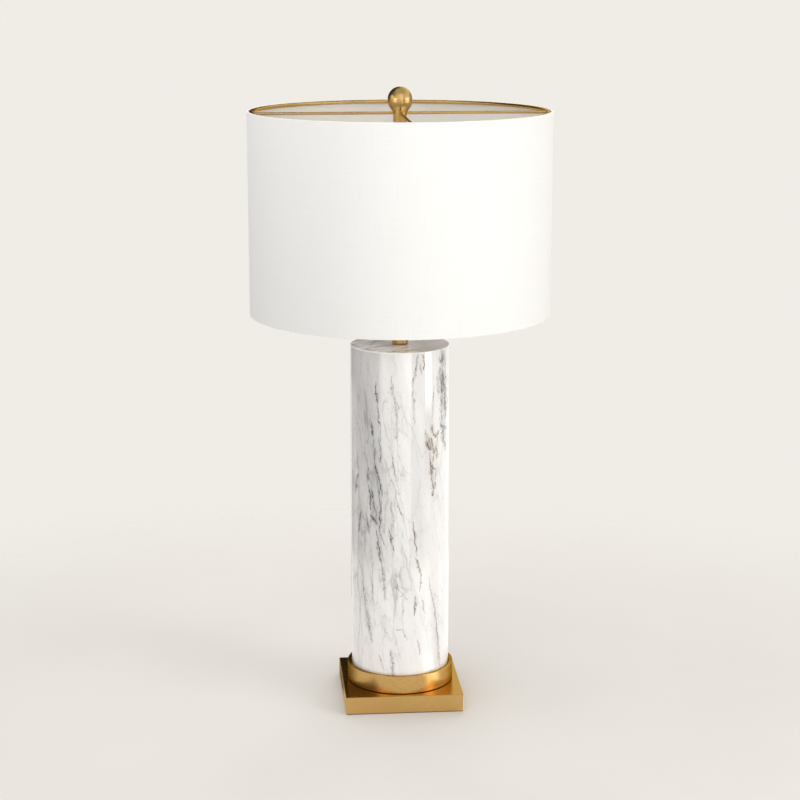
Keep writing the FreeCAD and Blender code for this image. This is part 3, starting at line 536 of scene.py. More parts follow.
stone = {
    "white": (0.815, 0.795, 0.78, 1),
    "cloud": (0.54, 0.54, 0.55, 1),
    "vein": (0.30, 0.295, 0.30, 1),
    "core": (0.03, 0.03, 0.036, 1),
    "rust": (0.17, 0.105, 0.065, 1),
    "softRust": (0.56, 0.49, 0.43, 1),
    "topWhite": (0.84, 0.815, 0.785, 1),
    "topVein": (0.30, 0.25, 0.205, 1),
    # the colour of the painted highlight along the top edge
    "edge": (0.93, 0.92, 0.90, 1),
    "foot": 47 * mm,
    "top": 472 * mm,
    "slant": 0.14,
    "sway": 6.0 * mm,
    "swayScale": 75.0,
    "weight": 1.2,
    "brownFading": 0.3,
    "rustStrength": 2.0,
    "backFading": 0.4,
    "backSeed": 7.0,
    # Around and Left are ranges round the column from its front, the others run up it;
    # the clusters in its upper right run straighter than the rest
    "clusterAround": (24 * mm, 30 * mm),
    "clusterUp": (250 * mm, 280 * mm),
    "clusterSway": 0.45,
    # the cluster at the far right is broken into specks
    "speckAround": (46 * mm, 50 * mm),
    "speckStretch": (1.0, 0.6, 1.0),
    "speckScale": 330.0,
    "speckGaps": (0.56, 0.44, (0.0, 0.65)),
    # the web is busy to the left and at the foot, calm to the right and at both ends
    "busyLeft": (14 * mm, -14 * mm, (0.3, 1.0)),
    "busyFoot": (250 * mm, 150 * mm, (0.0, 0.5)),
    "calmTop": (440 * mm, 370 * mm, (0.45, 1.0)),
    "calmFoot": (60 * mm, 200 * mm, (0.5, 1.0)),
    # painted shade: a wide grey cloud darkens its upper left, standing in for the darker reflection
    # there
    "leftShadeAround": (-26 * mm, -32 * mm),
    "leftShadeUp": (290 * mm, 420 * mm),
    "leftShadeShare": (0.2, 0.6, (0.3, 0.42)),
    "cloudStretch": (30, 30, 5),
    "cloudRange": (0.42, 0.68),
    "cloudShare": (0.3, 1.0, (0.22, 0.42)),
    # the web in three sizes: lines in a metre, how far they wander, width, cover and seed,
    # then how strong the lines are and the haze beside them
    "webs": [
        (((30, 30, 6.5), 0.9, 0.030, 0.52, 3.1), 0.7, 0.34),
        (((70, 70, 17), 0.8, 0.040, 0.52, 8.4), 0.55, 0.22),
        (((170, 170, 48), 0.7, 0.055, 0.50, 1.7), 0.28, 0.08),
    ],
    # thinner strands that gather round a main vein: stretch, thickness and strength
    "strands": [((300, 55, 300), 0.07, 0.75), ((600, 120, 600), 0.08, 0.5)],
    "strandCore": 0.3,
    "strandReach": 3.0,
    "haloShare": 0.5,
    "gritStretch": (1.0, 0.42, 1.0),
    "gritScale": 900.0,
    "gritGaps": (0.34, 0.52, (0.4, 1.0)),
    # the top face is duller, and its veins run across
    "topDepth": (0.5 * mm, 0.2 * mm),
    "topWeb": ((95, 20, 1), 0.7, 0.12, 0.62, 4.4),
    "topSlant": 0.55,
    "topHaze": 0.55,
    "topLine": 0.8,
    "topDulling": 0.1,
    "topCoat": 0.3,
    # the top face darkens towards its right, to the brown-grey vein colour
    "rightDarkeningAcross": (-10 * mm, 35 * mm),
    "rightDarkeningShare": 0.85,
    # the worn edge shows paler stone between these depths under the top
    # painted highlight: a paler band runs round just under the top edge, between these depths
    "edgeHighlightDepths": ((1.5 * mm, 1.1 * mm), (0.0, 0.3 * mm)),
    "edgeHighlightShare": 0.75,
    "smears": (50 * mm, 0.3, 0.8),
    "roughness": (0.14, 0.2),
    # the main veins, each laid from one place to another: degrees round from the front and
    # height in mm, then half width in mm, strength, and how brown it is
    "strokes": [
        (-34.2, 433, -30.7, 400, 0.82, 0.81, 0), (-30.7, 403, -27.7, 367, 0.74, 0.63, 0),
        (-28.3, 369, -27.8, 330, 1.3, 0.35, 0), (-39.7, 381, -36.3, 361, 0.98, 0.72, 0),
        (-37.4, 360, -34.8, 324, 1.1, 0.35, 0), (-34.8, 324, -30.3, 314, 1.23, 0.63, 0),
        (-30.9, 317, -25.4, 285, 0.9, 0.68, 0), (-43.3, 297, -40.2, 263, 0.82, 0.63, 0),
        (-39.7, 295, -33.7, 259, 0.9, 0.72, 0), (-31, 296, -27.3, 270, 0.9, 0.59, 0),
        (-27.9, 273, -28.8, 238, 0.98, 0.72, 0), (-40.5, 259, -31.1, 246, 1.48, 0.68, 0),
        (-47.3, 261, -42.8, 233, 0.9, 0.54, 0), (-29.8, 241, -23.7, 222, 0.8, 0.4, 0),
        (-32.7, 240, -26.2, 191, 0.98, 0.72, 0), (-26.2, 193, -22, 148, 1.6, 0.4, 0),
        (-62.6, 308, -70.5, 282, 2.3, 0.5, 0), (-45.5, 320, -44.8, 304, 0.98, 0.54, 0),
        (-56.8, 259, -62.1, 231, 1.56, 0.54, 0), (-14.1, 341, -9.5, 306, 0.8, 0.45, 0),
        (-10.6, 290, -3.2, 261, 0.8, 0.4, 0), (-18.2, 245, -11.8, 213, 0.9, 0.45, 0),
        (-16.4, 282, -10.7, 242, 0.7, 0.3, 0), (9.9, 252, 14.9, 207, 0.6, 0.8, 0.6),
        (13.2, 204, 20.4, 178, 0.7, 0.8, 0.4), (20.4, 181, 18.4, 158, 0.7, 0.48, 0.1),
        (13.4, 154, 12, 127, 0.9, 0.85, 0), (15.3, 94, 18.8, 73, 0.8, 0.41, 0),
        (-16, 81, -12.4, 43, 1.3, 0.54, 0), (-30.2, 73, -23.9, 53, 0.9, 0.34, 0),
        (-55.4, 182, -48.7, 127, 2.5, 0.34, 0), (-48.7, 133, -39.7, 88, 2.1, 0.37, 0),
        (-39.4, 172, -38.1, 138, 1.2, 0.31, 0), (29.5, 179, 45.1, 101, 1.2, 0.27, 0),
        (43.2, 112, 49.4, 47, 1.6, 0.34, 0), (21, 150, 24.9, 128, 0.9, 0.31, 0),
        (-1.5, 155, -2.6, 111, 1, 0.27, 0), (-9.6, 109, -1.4, 109, 0.6, 0.41, 0),
        (-2, 110, 3.8, 94, 0.7, 0.34, 0), (-7.2, 165, 3.2, 149, 0.7, 0.37, 0),
        (1.4, 160, -6.1, 151, 0.6, 0.31, 0), (-9, 173, -8.4, 164, 0.9, 0.41, 0),
        (15.8, 470, 9.7, 427, 0.9, 0.45, 0.3), (9.9, 427, 11.8, 380, 0.9, 0.3, 0),
        (21.5, 469, 23.6, 450, 1, 0.7, 0.9), (17.6, 457, 21.4, 444, 0.8, 0.7, 0.9),
        (-15.1, 442, -8.3, 386, 1.3, 0.3, 0), (-7.2, 405, -9.5, 360, 1.4, 0.3, 0),
        (37.4, 427, 34.6, 376, 0.8, 0.35, 0.1), (43.1, 438, 45, 414, 1.3, 0.55, 0.3),
        (50.5, 473, 50.5, 452, 1.86, 0.69, 0), (53.5, 468, 53.8, 450, 3.16, 1, 0),
        (57.5, 472, 59, 440, 1.72, 0.46, 0), (47.5, 452, 47, 430, 2.15, 0.4, 0.1),
        (51.5, 448, 54, 436, 1.57, 0.57, 0), (53.5, 441, 56.5, 419, 4.31, 1, 0),
        (51, 438, 52, 403, 2.59, 1, 0), (56, 424, 59, 403, 2.73, 1, 0),
        (57.5, 411, 61, 386, 3.74, 1, 0), (50, 405, 51, 388, 1.72, 0.57, 0),
        (52.5, 414, 54, 392, 1.57, 0.75, 0), (59.5, 392, 60.5, 375, 1.86, 0.63, 0),
        (51, 388, 53, 372, 2.59, 0.69, 0), (49.5, 372, 62, 367, 2.88, 1, 0),
        (54, 368, 56, 349, 2.44, 0.86, 0), (60, 368, 61, 352, 1.72, 0.4, 0),
        (56, 352, 62.5, 336, 1.57, 0.69, 0), (34.1, 376.7, 36.4, 365, 1.4, 1, 0.9),
        (36.4, 365, 41.3, 358.1, 1.25, 1, 0.9), (46.6, 368.3, 40.4, 358.9, 0.94, 0.92, 0.7),
        (24.9, 372.1, 27, 357.2, 0.71, 0.57, 0.5), (27, 357.2, 31.2, 344.7, 1.4, 1, 0.8),
        (31.2, 360.6, 29.1, 350.3, 0.78, 0.69, 0.7), (33.4, 360.2, 36.4, 346.4, 1.4, 1, 0.9),
        (36.4, 346.4, 38.8, 338, 1.4, 1, 0.9), (33.4, 352.2, 31.9, 343.2, 0.94, 0.8, 0.8),
        (39.6, 348.4, 43.8, 338.3, 0.94, 0.8, 0.8), (43.8, 339.6, 42.1, 330.7, 1.25, 1, 0.9),
        (38, 338.1, 37.2, 327.7, 0.78, 0.69, 0.8), (31.9, 341.9, 31.2, 330.1, 0.78, 0.57, 0.6),
        (31.2, 330.1, 33.4, 321.7, 0.94, 0.8, 0.7), (33.4, 324.4, 36.4, 318.5, 1.4, 1, 0.9),
        (36.4, 319.9, 41.3, 316.9, 0.78, 0.69, 0.7), (32.6, 321.9, 34.1, 309.7, 1.4, 1, 0.9),
        (34.1, 309.7, 35.6, 300.1, 0.94, 0.92, 0.8),
        (41.3, 316.2, 39.6, 300.6, 0.63, 0.57, 0.6), (35.6, 300.1, 38, 291.7, 1.57, 1, 0.9),
        (39.6, 300.6, 39.6, 291.3, 0.94, 1, 0.8), (37.2, 291.8, 34.9, 283, 1.09, 0.8, 0.3),
        (27.5, 366, 37.5, 338, 3.6, 0.3, 0.9), (45.5, 366, 38, 334, 2.6, 0.3, 0.9),
        (34.5, 336, 38, 296, 3.2, 0.3, 0.9),
    ],
}


def layStrokes(tree, wrapped):
    # the back carries the same veins turned upside down, so that it looks like the front
    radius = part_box("marble_column")[1].x
    half = math.pi * radius
    arc, z, _ = splitVector(tree, wrapped)
    behind = maths(tree, "GREATER_THAN", maths(tree, "ABSOLUTE", arc), half / 2)
    turned = maths(tree, "WRAP", add(tree, arc, half), half, -half)
    flipped = maths(tree, "SUBTRACT", stone["foot"] + stone["top"], z)
    back = joinVector(tree, product(tree, turned, -1.0), flipped, 0.0)
    spot = mix(tree, behind, joinVector(tree, arc, z, 0.0), back, "VECTOR")
    around, up, _ = splitVector(tree, spot)
    cluster = overlap(tree, around, stone["clusterAround"], up, stone["clusterUp"])
    least = stone["sway"] * stone["clusterSway"]
    wandering = useGroup(
        tree,
        swayGroup,
        Vector=spot,
        Scale=stone["swayScale"],
        Amount=ramp(tree, cluster, 0.0, 1.0, (stone["sway"], least)),
        Seed=product(tree, behind, stone["backSeed"]),
    )["Vector"]
    x, y, _ = splitVector(tree, wandering)
    flat = joinVector(tree, x, y, 0.0)

    dark = halo = rust = 0.0
    for degrees, low, toDegrees, high, halfWidth, strength, brown in stone["strokes"]:
        start = Vector((math.radians(degrees) * radius, low * mm, 0))
        along = Vector((math.radians(toDegrees) * radius, high * mm, 0)) - start
        width = halfWidth * mm * stone["weight"]
        stroke = useGroup(
            tree, strokeGroup, Flat=flat, From=start, Along=along, Half_Width=width
        )
        line = product(tree, stroke["Core"], strength)
        haze = product(tree, stroke["Halo"], strength * (1 - stone["brownFading"] * brown))
        dark = maths(tree, "MAXIMUM", dark, line)
        halo = maths(tree, "MAXIMUM", halo, haze)
        if brown:
            brownShare = product(tree, stroke["Halo"], brown * stone["rustStrength"])
            rust = maths(tree, "MAXIMUM", rust, brownShare)
    rust = maths(tree, "MINIMUM", rust, 1.0)

    busy = ramp(tree, around, *stone["busyLeft"])
    busy = maths(tree, "MAXIMUM", busy, ramp(tree, z, *stone["busyFoot"]))
    busy = product(tree, busy, ramp(tree, z, *stone["calmTop"]), ramp(tree, z, *stone["calmFoot"]))
    dark = product(tree, dark, oneMinus(tree, product(tree, behind, stone["backFading"])))
    spread = stretched(tree, wrapped, stone["speckStretch"])
    specks = noise(tree, spread, stone["speckScale"], detail=2.0, roughness=0.5)
    far = product(tree, ramp(tree, around, *stone["speckAround"]), cluster)
    gaps = product(tree, ramp(tree, specks, *stone["speckGaps"]), far)
    dark = product(tree, dark, oneMinus(tree, gaps))
    # painted shade on the upper left of the column
    leftShade = overlap(tree, around, stone["leftShadeAround"], z, stone["leftShadeUp"])
    return dark, halo, rust, busy, leftShade


def layWeb(tree, place, stretch, warp, width, cover, seed):
    shape = {"Stretch": stretch, "Warp": warp, "Width": width, "Cover": cover, "Seed": seed}
    return useGroup(tree, veinGroup, Vector=place, **shape)


def paintWebs(tree, colour, leaning, busy):
    for shape, line, haze in stone["webs"]:
        layer = layWeb(tree, leaning, *shape)
        colour = mix(tree, product(tree, layer["Halo"], haze, busy), colour, stone["cloud"])
        colour = mix(tree, product(tree, layer["Vein"], line, busy), colour, stone["vein"])
    return colour


def paintVeins(tree, colour, wrapped, dark, halo, rust):
    tint = mix(tree, rust, stone["core"], stone["rust"])
    softTint = mix(tree, rust, stone["cloud"], stone["softRust"])
    colour = mix(tree, product(tree, halo, stone["haloShare"]), colour, softTint)
    near = maths(tree, "MINIMUM", product(tree, halo, stone["strandReach"]), 1.0)
    for stretch, thick, strength in stone["strands"]:
        field = noise(tree, stretched(tree, wrapped, stretch), 1.0, detail=1.5, roughness=0.5)
        off = maths(tree, "ABSOLUTE", maths(tree, "SUBTRACT", field, 0.5))
        core = thick * stone["strandCore"]
        strand = ramp(tree, off, product(tree, halo, thick), product(tree, halo, core))
        colour = mix(tree, product(tree, strand, near, strength), colour, tint)
    spread = stretched(tree, wrapped, stone["gritStretch"])
    grit = noise(tree, spread, stone["gritScale"], detail=3.0, roughness=0.6)
    return mix(tree, product(tree, dark, ramp(tree, grit, *stone["gritGaps"])), colour, tint)


def paintTop(tree, colour, x, y, z, onTop, level):
    slanted = maths(tree, "SUBTRACT", y, product(tree, x, stone["topSlant"]))
    layer = layWeb(tree, joinVector(tree, slanted, x, 0.0), *stone["topWeb"])
    haze = product(tree, layer["Halo"], stone["topHaze"])
    top = mix(tree, haze, stone["topWhite"], stone["cloud"])
    # darker towards the right of the top face
    brownShare = product(tree, ramp(tree, x, *stone["rightDarkeningAcross"]), stone["rightDarkeningShare"])
    top = mix(tree, brownShare, top, stone["topVein"])
    top = mix(tree, product(tree, layer["Vein"], stone["topLine"]), top, stone["topVein"])
    colour = mix(tree, onTop, colour, top)
    # painted highlight: a paler band round the top edge
    rise, fall = ([level - depth for depth in depths] for depths in stone["edgeHighlightDepths"])
    edge = product(tree, hump(tree, z, rise, fall), stone["edgeHighlightShare"])
    return mix(tree, edge, colour, stone["edge"])


def makeStone():
    material, tree, shader, place = newMaterial(
        "veinedStone", Coat_Roughness=0.025, Coat_IOR=2.1, Specular_IOR_Level=0.2
    )
    wrapped = wrap(tree, place)
    x, y, z = splitVector(tree, place)
    leaning = joinVector(tree, add(tree, x, product(tree, z, stone["slant"])), y, z)
    dark, halo, rust, busy, leftShade = layStrokes(tree, wrapped)
    spread = stretched(tree, leaning, stone["cloudStretch"])
    clouds = noise(tree, spread, 1.0, detail=4.0, roughness=0.55)
    cloudy = overlap(tree, clouds, stone["cloudRange"], busy, stone["cloudShare"])
    # the painted shade on the upper left adds to the grey clouds
    cloudy = add(tree, cloudy, product(tree, leftShade, ramp(tree, clouds, *stone["leftShadeShare"])))
    colour = mix(tree, cloudy, stone["white"], stone["cloud"])
    colour = paintWebs(tree, colour, leaning, busy)
    colour = paintVeins(tree, colour, wrapped, dark, halo, rust)
    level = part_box("marble_column")[1].z
    onTop = ramp(tree, z, *(level - depth for depth in stone["topDepth"]))
    colour = paintTop(tree, colour, x, y, z, onTop, level)
    smear = patina(tree, place, *stone["smears"])
    rough = ramp(tree, smear, 0.0, 1.0, stone["roughness"], smooth=False)
    rough = add(tree, rough, product(tree, onTop, stone["topDulling"]))
    coat = ramp(tree, onTop, 0.0, 1.0, (1.0, stone["topCoat"]), smooth=False)
    plug(tree, shader, Base_Color=colour, Roughness=rough, Coat_Weight=coat)
    return material


# linen and lining


cloth = {
    "colour": (0.86, 0.855, 0.84, 1),
    "shadow": (0.74, 0.73, 0.70, 1),
    "thread": 0.55 * mm,
    "threadSway": 0.9,
    "over": (-0.5, 0.5),
    "grains": [((18, 900, 0), 1.5), ((900, 18, 0), 1.5)],
    "weaveShadow": (0.0, 0.8, (0.35, 0.0)),
    "slubShadow": (0.35, 0.7, (0.0, 0.22)),
    "slubRoughness": (0.3, 0.7, (0.8, 0.92)),
    "slubHeight": 1.2,
    "bump": (0.35, 0.12 * mm),
    "thick": 0.55 * mm,
    "turnIn": 2.4 * mm,
    "hemDepth": 9.0 * mm,
    "foldRound": 0.8 * mm,
    "foldSegments": 3,
    "seamWidth": 13 * mm,
    "seamRise": 0.35 * mm,
    "seamInset": 0.3 * mm,
    "seamSink": 0.15 * mm,
    "seamRound": 0.15 * mm,
    "segments": 256,
    "seamSegments": 768,
    "close": 0.01 * mm,
}

lining = {
    "colour": (0.86, 0.84, 0.81, 1),
    "clouds": (80 * mm, 0.3, 0.8),
    "cloudShare": 0.25,
    "roughness": (0.42, 0.56),
    "pitScale": 2200.0,
    "bump": (0.08, 0.05 * mm),
    "thick": 0.6 * mm,
}


def makeWeave(tree, wrapped):
    # plain weave: threads across and down take turns on top, each a little uneven
    arc, z, _ = splitVector(tree, wrapped)
    uneven, upright = (grain(tree, wrapped, *lines) for lines in cloth["grains"])
    shift = product(tree, maths(tree, "SUBTRACT", uneven, 0.5), cloth["threadSway"])
    turns = [product(tree, along, math.pi / cloth["thread"]) for along in (arc, z)]
    waves = [maths(tree, "SINE", add(tree, turn, shift)) for turn in turns]
    over = ramp(tree, product(tree, *waves), *cloth["over"])
    down, across = (maths(tree, "ABSOLUTE", wave) for wave in waves)
    weave = add(tree, product(tree, down, over), product(tree, across, oneMinus(tree, over)))
    slub = product(tree, add(tree, uneven, upright), 0.5)
    return weave, slub


def makeLinen():
    material, tree, shader, place = newMaterial(
        "whiteLinen", Sheen_Weight=0.25, Sheen_Roughness=0.5
    )
    weave, slub = makeWeave(tree, wrap(tree, place))
    colour = cloth["colour"]
    for height, shadow in ((weave, "weaveShadow"), (slub, "slubShadow")):
        colour = mix(tree, ramp(tree, height, *cloth[shadow]), colour, cloth["shadow"])
    height = add(tree, weave, product(tree, slub, cloth["slubHeight"]))
    plug(
        tree,
        shader,
        Base_Color=colour,
        Normal=bump(tree, height, *cloth["bump"]),
        Roughness=ramp(tree, slub, *cloth["slubRoughness"]),
    )
    return material


def makeLining():
    material, tree, shader, place = newMaterial("whiteLining")
    cloud = patina(tree, place, *lining["clouds"])
    pits = noise(tree, place, lining["pitScale"], detail=2.0, roughness=0.5)
    share = product(tree, cloud, lining["cloudShare"])
    plug(
        tree,
        shader,
        Base_Color=mix(tree, share, lining["colour"], cloth["shadow"]),
        Roughness=ramp(tree, cloud, 0.0, 1.0, lining["roughness"]),
        Normal=bump(tree, pits, *lining["bump"]),
    )
    return material


# plain small-part finishes


# colour, how metallic, and roughness
small = {
    "zinc": ((0.48, 0.48, 0.47, 1), 1.0, (0.28, 0.42)),
    "aluminium": ((0.72, 0.72, 0.71, 1), 1.0, (0.18, 0.3)),
    "iron": ((0.055, 0.053, 0.05, 1), 0.0, (0.6, 0.85)),
    "blackPlastic": ((0.02, 0.02, 0.021, 1), 0.0, (0.35, 0.5)),
    "phenolic": ((0.016, 0.013, 0.011, 1), 0.0, (0.16, 0.28)),
    "fibreCard": ((0.13, 0.075, 0.04, 1), 0.0, (0.6, 0.8)),
    "whiteWire": ((0.76, 0.755, 0.73, 1), 0.0, (0.3, 0.42)),
    "blackGlass": ((0.012, 0.01, 0.016, 1), 0.0, (0.05, 0.12)),
}

wear = {
    "patches": (6 * mm, 0.3, 0.75),
    "patchShare": 0.5,
    "darker": 0.7,
    "grain": ((900, 900, 900), 1.4),
    "grainRange": (0.2, 0.8),
    "bump": (0.2, 0.05 * mm),
}

felt = {
    "deep": (0.018, 0.017, 0.016, 1),
    "pale": (0.06, 0.057, 0.053, 1),
    "fibres": [((700, 2200, 2200), 1.6), ((2200, 700, 2200), 1.6)],
    "bump": (0.6, 0.3 * mm),
}

bulbGlass = {
    "colour": (0.82, 0.82, 0.8, 1),
    "streak": (0.78, 0.78, 0.76, 1),
    "streaks": (20 * mm, 0.3, 0.7),
    "frostScale": 900.0,
    "roughness": (0.2, 0.8, (0.28, 0.4)),
    "bump": (0.1, 0.03 * mm),
}


def makePlainFinish(name, colour, metallic, roughness):
    material, tree, shader, place = newMaterial(name, Metallic=metallic)
    patches = patina(tree, place, *wear["patches"])
    fine = grain(tree, place, *wear["grain"])
    darker = tuple(channel * wear["darker"] for channel in colour[:3]) + (1,)
    plug(
        tree,
        shader,
        Base_Color=mix(tree, product(tree, patches, wear["patchShare"]), colour, darker),
        Roughness=ramp(tree, fine, *wear["grainRange"], roughness),
        Normal=bump(tree, fine, *wear["bump"]),
    )
    return material


def makeFelt():
    material, tree, shader, place = newMaterial("greyFelt", Roughness=1.0, Sheen_Weight=0.4)
    fibres = [grain(tree, place, *lines) for lines in felt["fibres"]]
    fuzz = product(tree, add(tree, *fibres), 0.5)
    colour = mix(tree, fuzz, felt["deep"], felt["pale"])
    plug(tree, shader, Base_Color=colour, Normal=bump(tree, fuzz, *felt["bump"]))
    return material


def makeBulbGlass():
    material, tree, shader, place = newMaterial("frostedGlass", IOR=1.45)
    frost = noise(tree, place, bulbGlass["frostScale"], detail=3.0, roughness=0.6)
    streak = patina(tree, place, *bulbGlass["streaks"])
    plug(
        tree,
        shader,
        Base_Color=mix(tree, streak, bulbGlass["colour"], bulbGlass["streak"]),
        Roughness=ramp(tree, frost, *bulbGlass["roughness"]),
        Normal=bump(tree, frost, *bulbGlass["bump"]),
    )
    return material


# shade


def isNear(first, second):
    return abs(first - second) < cloth["close"]


def makeShade(linen):
    low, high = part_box("shade_fabric")
    radius = high.x
    inner = radius - cloth["turnIn"]
    shell = tubeWall("shadeLinen", radius, low.z, high.z, cloth["segments"])
    for level, inward in ((high.z, -1), (low.z, 1)):
        # the cloth turns over the ring and then runs back inside as a hem
        pick(shell, "EDGE", lambda edge: all(isNear(end.z, level) for end in edgeEnds(shell, edge)))
        bpy.ops.mesh.extrude_region_move()
        bpy.ops.transform.resize(value=(inner / radius, inner / radius, 1))
        hem = (0, 0, inward * cloth["hemDepth"])
        bpy.ops.mesh.extrude_region_move(TRANSFORM_OT_translate={"value": hem})
        objectMode()

    def atFold(edge):
        # along the folds, but not across the rim between them
        a, b = edgeEnds(shell, edge)
        level = isNear(a.z, b.z) and (isNear(a.z, low.z) or isNear(a.z, high.z))
        return level and isNear(a.xy.length, b.xy.length)

    pick(shell, "EDGE", atFold)
    bpy.ops.mesh.bevel(
        offset=cloth["foldRound"], segments=cloth["foldSegments"], affect="EDGES"
    )
    objectMode()
    addModifier(
        shell, "SOLIDIFY", thickness=cloth["thick"], offset=-1.0, use_quality_normals=True
    )
    settle(shell)
    shell.data.materials.append(linen)
    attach(shell, "shade")
    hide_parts("shade_fabric")


def makeSeam(linen):
    # where the linen laps over itself down the back
    low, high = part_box("shade_fabric")
    inset = cloth["seamInset"]
    seam = tubeWall(
        "shadeSeam",
        high.x + cloth["seamRise"],
        low.z + inset,
        high.z - inset,
        cloth["seamSegments"],
    )
    half = cloth["seamWidth"] / 2
    dropFaces(seam, lambda face: abs(face.center.x) > half or face.center.y < 0)
    thick = cloth["seamRise"] + cloth["seamSink"]
    addModifier(seam, "SOLIDIFY", thickness=thick, offset=-1.0)
    addModifier(seam, "BEVEL", width=cloth["seamRound"], segments=2, limit_method="ANGLE")
    settle(seam)
    seam.data.materials.append(linen)
    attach(seam, "shade")


def makeLiningSheet(material):
    low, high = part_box("shade_liner")
    shell = tubeWall("shadeLining", high.x, low.z, high.z, cloth["segments"])
    addModifier(shell, "SOLIDIFY", thickness=lining["thick"], offset=-1.0)
    settle(shell)
    shell.data.materials.append(material)
    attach(shell, "shade")
    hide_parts("shade_liner")


# camera, light and floor


camera = {
    "lens": 89.25,
    "sensor": 36.0,
    "distance": 2.4867,
    "height": 0.9546,
    "turn": -4.93,
    "pitch": 12.627,
    "near": 0.05,
    "far": 50,
}


def makeCamera():
    turn = math.radians(camera["turn"])
    x, y = camera["distance"] * math.sin(turn), -camera["distance"] * math.cos(turn)
    aim = (math.radians(90 - camera["pitch"]), 0, turn)
    bpy.ops.object.camera_add(location=(x, y, camera["height"]), rotation=aim)
    eye = bpy.context.active_object
    eye.data.lens = camera["lens"]
    eye.data.sensor_width = camera["sensor"]
    eye.data.clip_start = camera["near"]
    eye.data.clip_end = camera["far"]
    bpy.context.scene.camera = eye


room = {
    "background": (0.87, 0.845, 0.80, 1),
    "light": (0.90, 0.885, 0.855, 1),
    "ambient": 0.62,
    "overhead": 0.72,
    # way round from the camera in degrees, right is positive, and the brightness that a
    # polished surface meets there
    "bands": [
        (-180, 0.85), (-168, 0.7), (-150, 0.35), (-120, 0.18), (-60, 0.16), (-52, 0.22),
        (-47, 1.0), (-18, 1.0), (25, 1.75), (27.5, 0.95), (56, 0.95), (80, 0.95),
        (120, 1.05), (150, 1.25), (168, 0.9), (180, 0.85),
    ],
    # a colour ramp holds nothing above 1, so it carries the bands scaled down, and the lift
    # brings them back, a little more high up
    "scale": 4,
    "lift": (-11.0, -3.0, (4.0, 4.7)),
    # elevations between which the walls' dark foot ends, but for the window side, and those
    # between which the ceiling takes over
    "foot": (-15.6, -11.8, (0.25, 1.0)),
    "windowSide": (50.0, 62.0),
    "ceiling": (35.0, 62.0),
    # panels on the wall: from and to in degrees round, how soft at the sides, from and to in
    # elevation, and how much brighter
    "panels": [
        (27.5, 56, 1, -12.6, 12.6, -0.55),
        (57, 80, 1, -15.4, -8, -0.8),
        (-12, 26, 3, -17.5, -13, 0.5),
        (-160, -120, 9, -18, -12.2, 0.45),
        (102, 165, 9, -18.5, -12.6, 0.3),
    ],
    "panelEdge": 0.5,
}


def between(tree, value, start, end, soft):
    return hump(tree, value, (start - soft, start + soft), (end + soft, end - soft))


def evenGrey(value):
    return (value, value, value, 1)


def makeWorld():
    world = bpy.data.worlds.new("paleRoom")
    bpy.context.scene.world = world
    world.use_nodes = True
    tree = world.node_tree
    direction = tree.nodes.new("ShaderNodeTexCoord").outputs["Generated"]
    _, _, z = splitVector(tree, direction)
    way = bearing(tree, direction)
    rise = maths(tree, "DEGREES", maths(tree, "ARCSINE", z))
    stops = tree.nodes.new("ShaderNodeValToRGB")
    feed(tree, stops.inputs[0], ramp(tree, way, -180.0, 180.0, smooth=False))
    elements = stops.color_ramp.elements
    for number, (degrees, bright) in enumerate(room["bands"]):
        position = (degrees + 180) / 360
        element = elements[number] if number < 2 else elements.new(position)
        element.position = position
        element.color = evenGrey(bright / room["scale"])
    lift = ramp(tree, rise, *room["lift"])
    foot = ramp(tree, rise, *room["foot"])
    foot = maths(tree, "MAXIMUM", foot, ramp(tree, way, *room["windowSide"]))
    seen = product(tree, stops.outputs["Color"], product(tree, lift, foot))
    for start, end, soft, low, top, bright in room["panels"]:
        wide = between(tree, way, start, end, soft)
        high = between(tree, rise, low, top, room["panelEdge"])
        seen = add(tree, seen, product(tree, wide, high, bright))
    above = ramp(tree, rise, *room["ceiling"])
    seen = mix(tree, above, joinSame(tree, seen), evenGrey(room["overhead"]))
    path = tree.nodes.new("ShaderNodeLightPath").outputs
    shiny = maths(tree, "MAXIMUM", path["Is Glossy Ray"], path["Is Transmission Ray"])
    strength = mix(tree, shiny, evenGrey(room["ambient"]), seen)
    lit = mix(tree, 1.0, strength, room["light"], blend="MULTIPLY")
    colour = mix(tree, path["Is Camera Ray"], lit, room["background"])
    plug(tree, tree.nodes["Background"], Color=colour, Strength=1.0)


lamps = [
    # name, place, size across and up, watts, colour
    ("windowKey", (1.9, -1.35, 0.78), (1.2, 1.5), 25, (1.0, 0.985, 0.96)),
    ("frontFill", (-0.8, -2.7, 0.9), (2.8, 1.6), 30.5, (0.99, 0.99, 1.0)),
    ("ceilingFill", (-0.5, -0.1, 2.5), (1.4, 1.4), 19, (1.0, 1.0, 1.0)),
    ("backBounce", (0.3, 1.7, 1.3), (2.2, 1.4), 15, (1.0, 0.99, 0.97)),
]
lampAim = Vector((0, 0, 0.45))


def makeLamps():
    for name, spot, size, watts, colour in lamps:
        bpy.ops.object.light_add(type="AREA", location=spot)
        lamp = bpy.context.active_object
        lamp.name = name
        lamp.data.shape = "RECTANGLE"
        lamp.data.size, lamp.data.size_y = size
        lamp.data.energy = watts
        lamp.data.color = colour
        lamp.visible_glossy = False  # polished surfaces see the room's bands instead
        lamp.rotation_euler = (lampAim - Vector(spot)).to_track_quat("-Z", "Y").to_euler()


# soft patches on the floor and the cards: size, and from where to where in the noise
softPatches = (300 * mm, 0.3, 0.8)

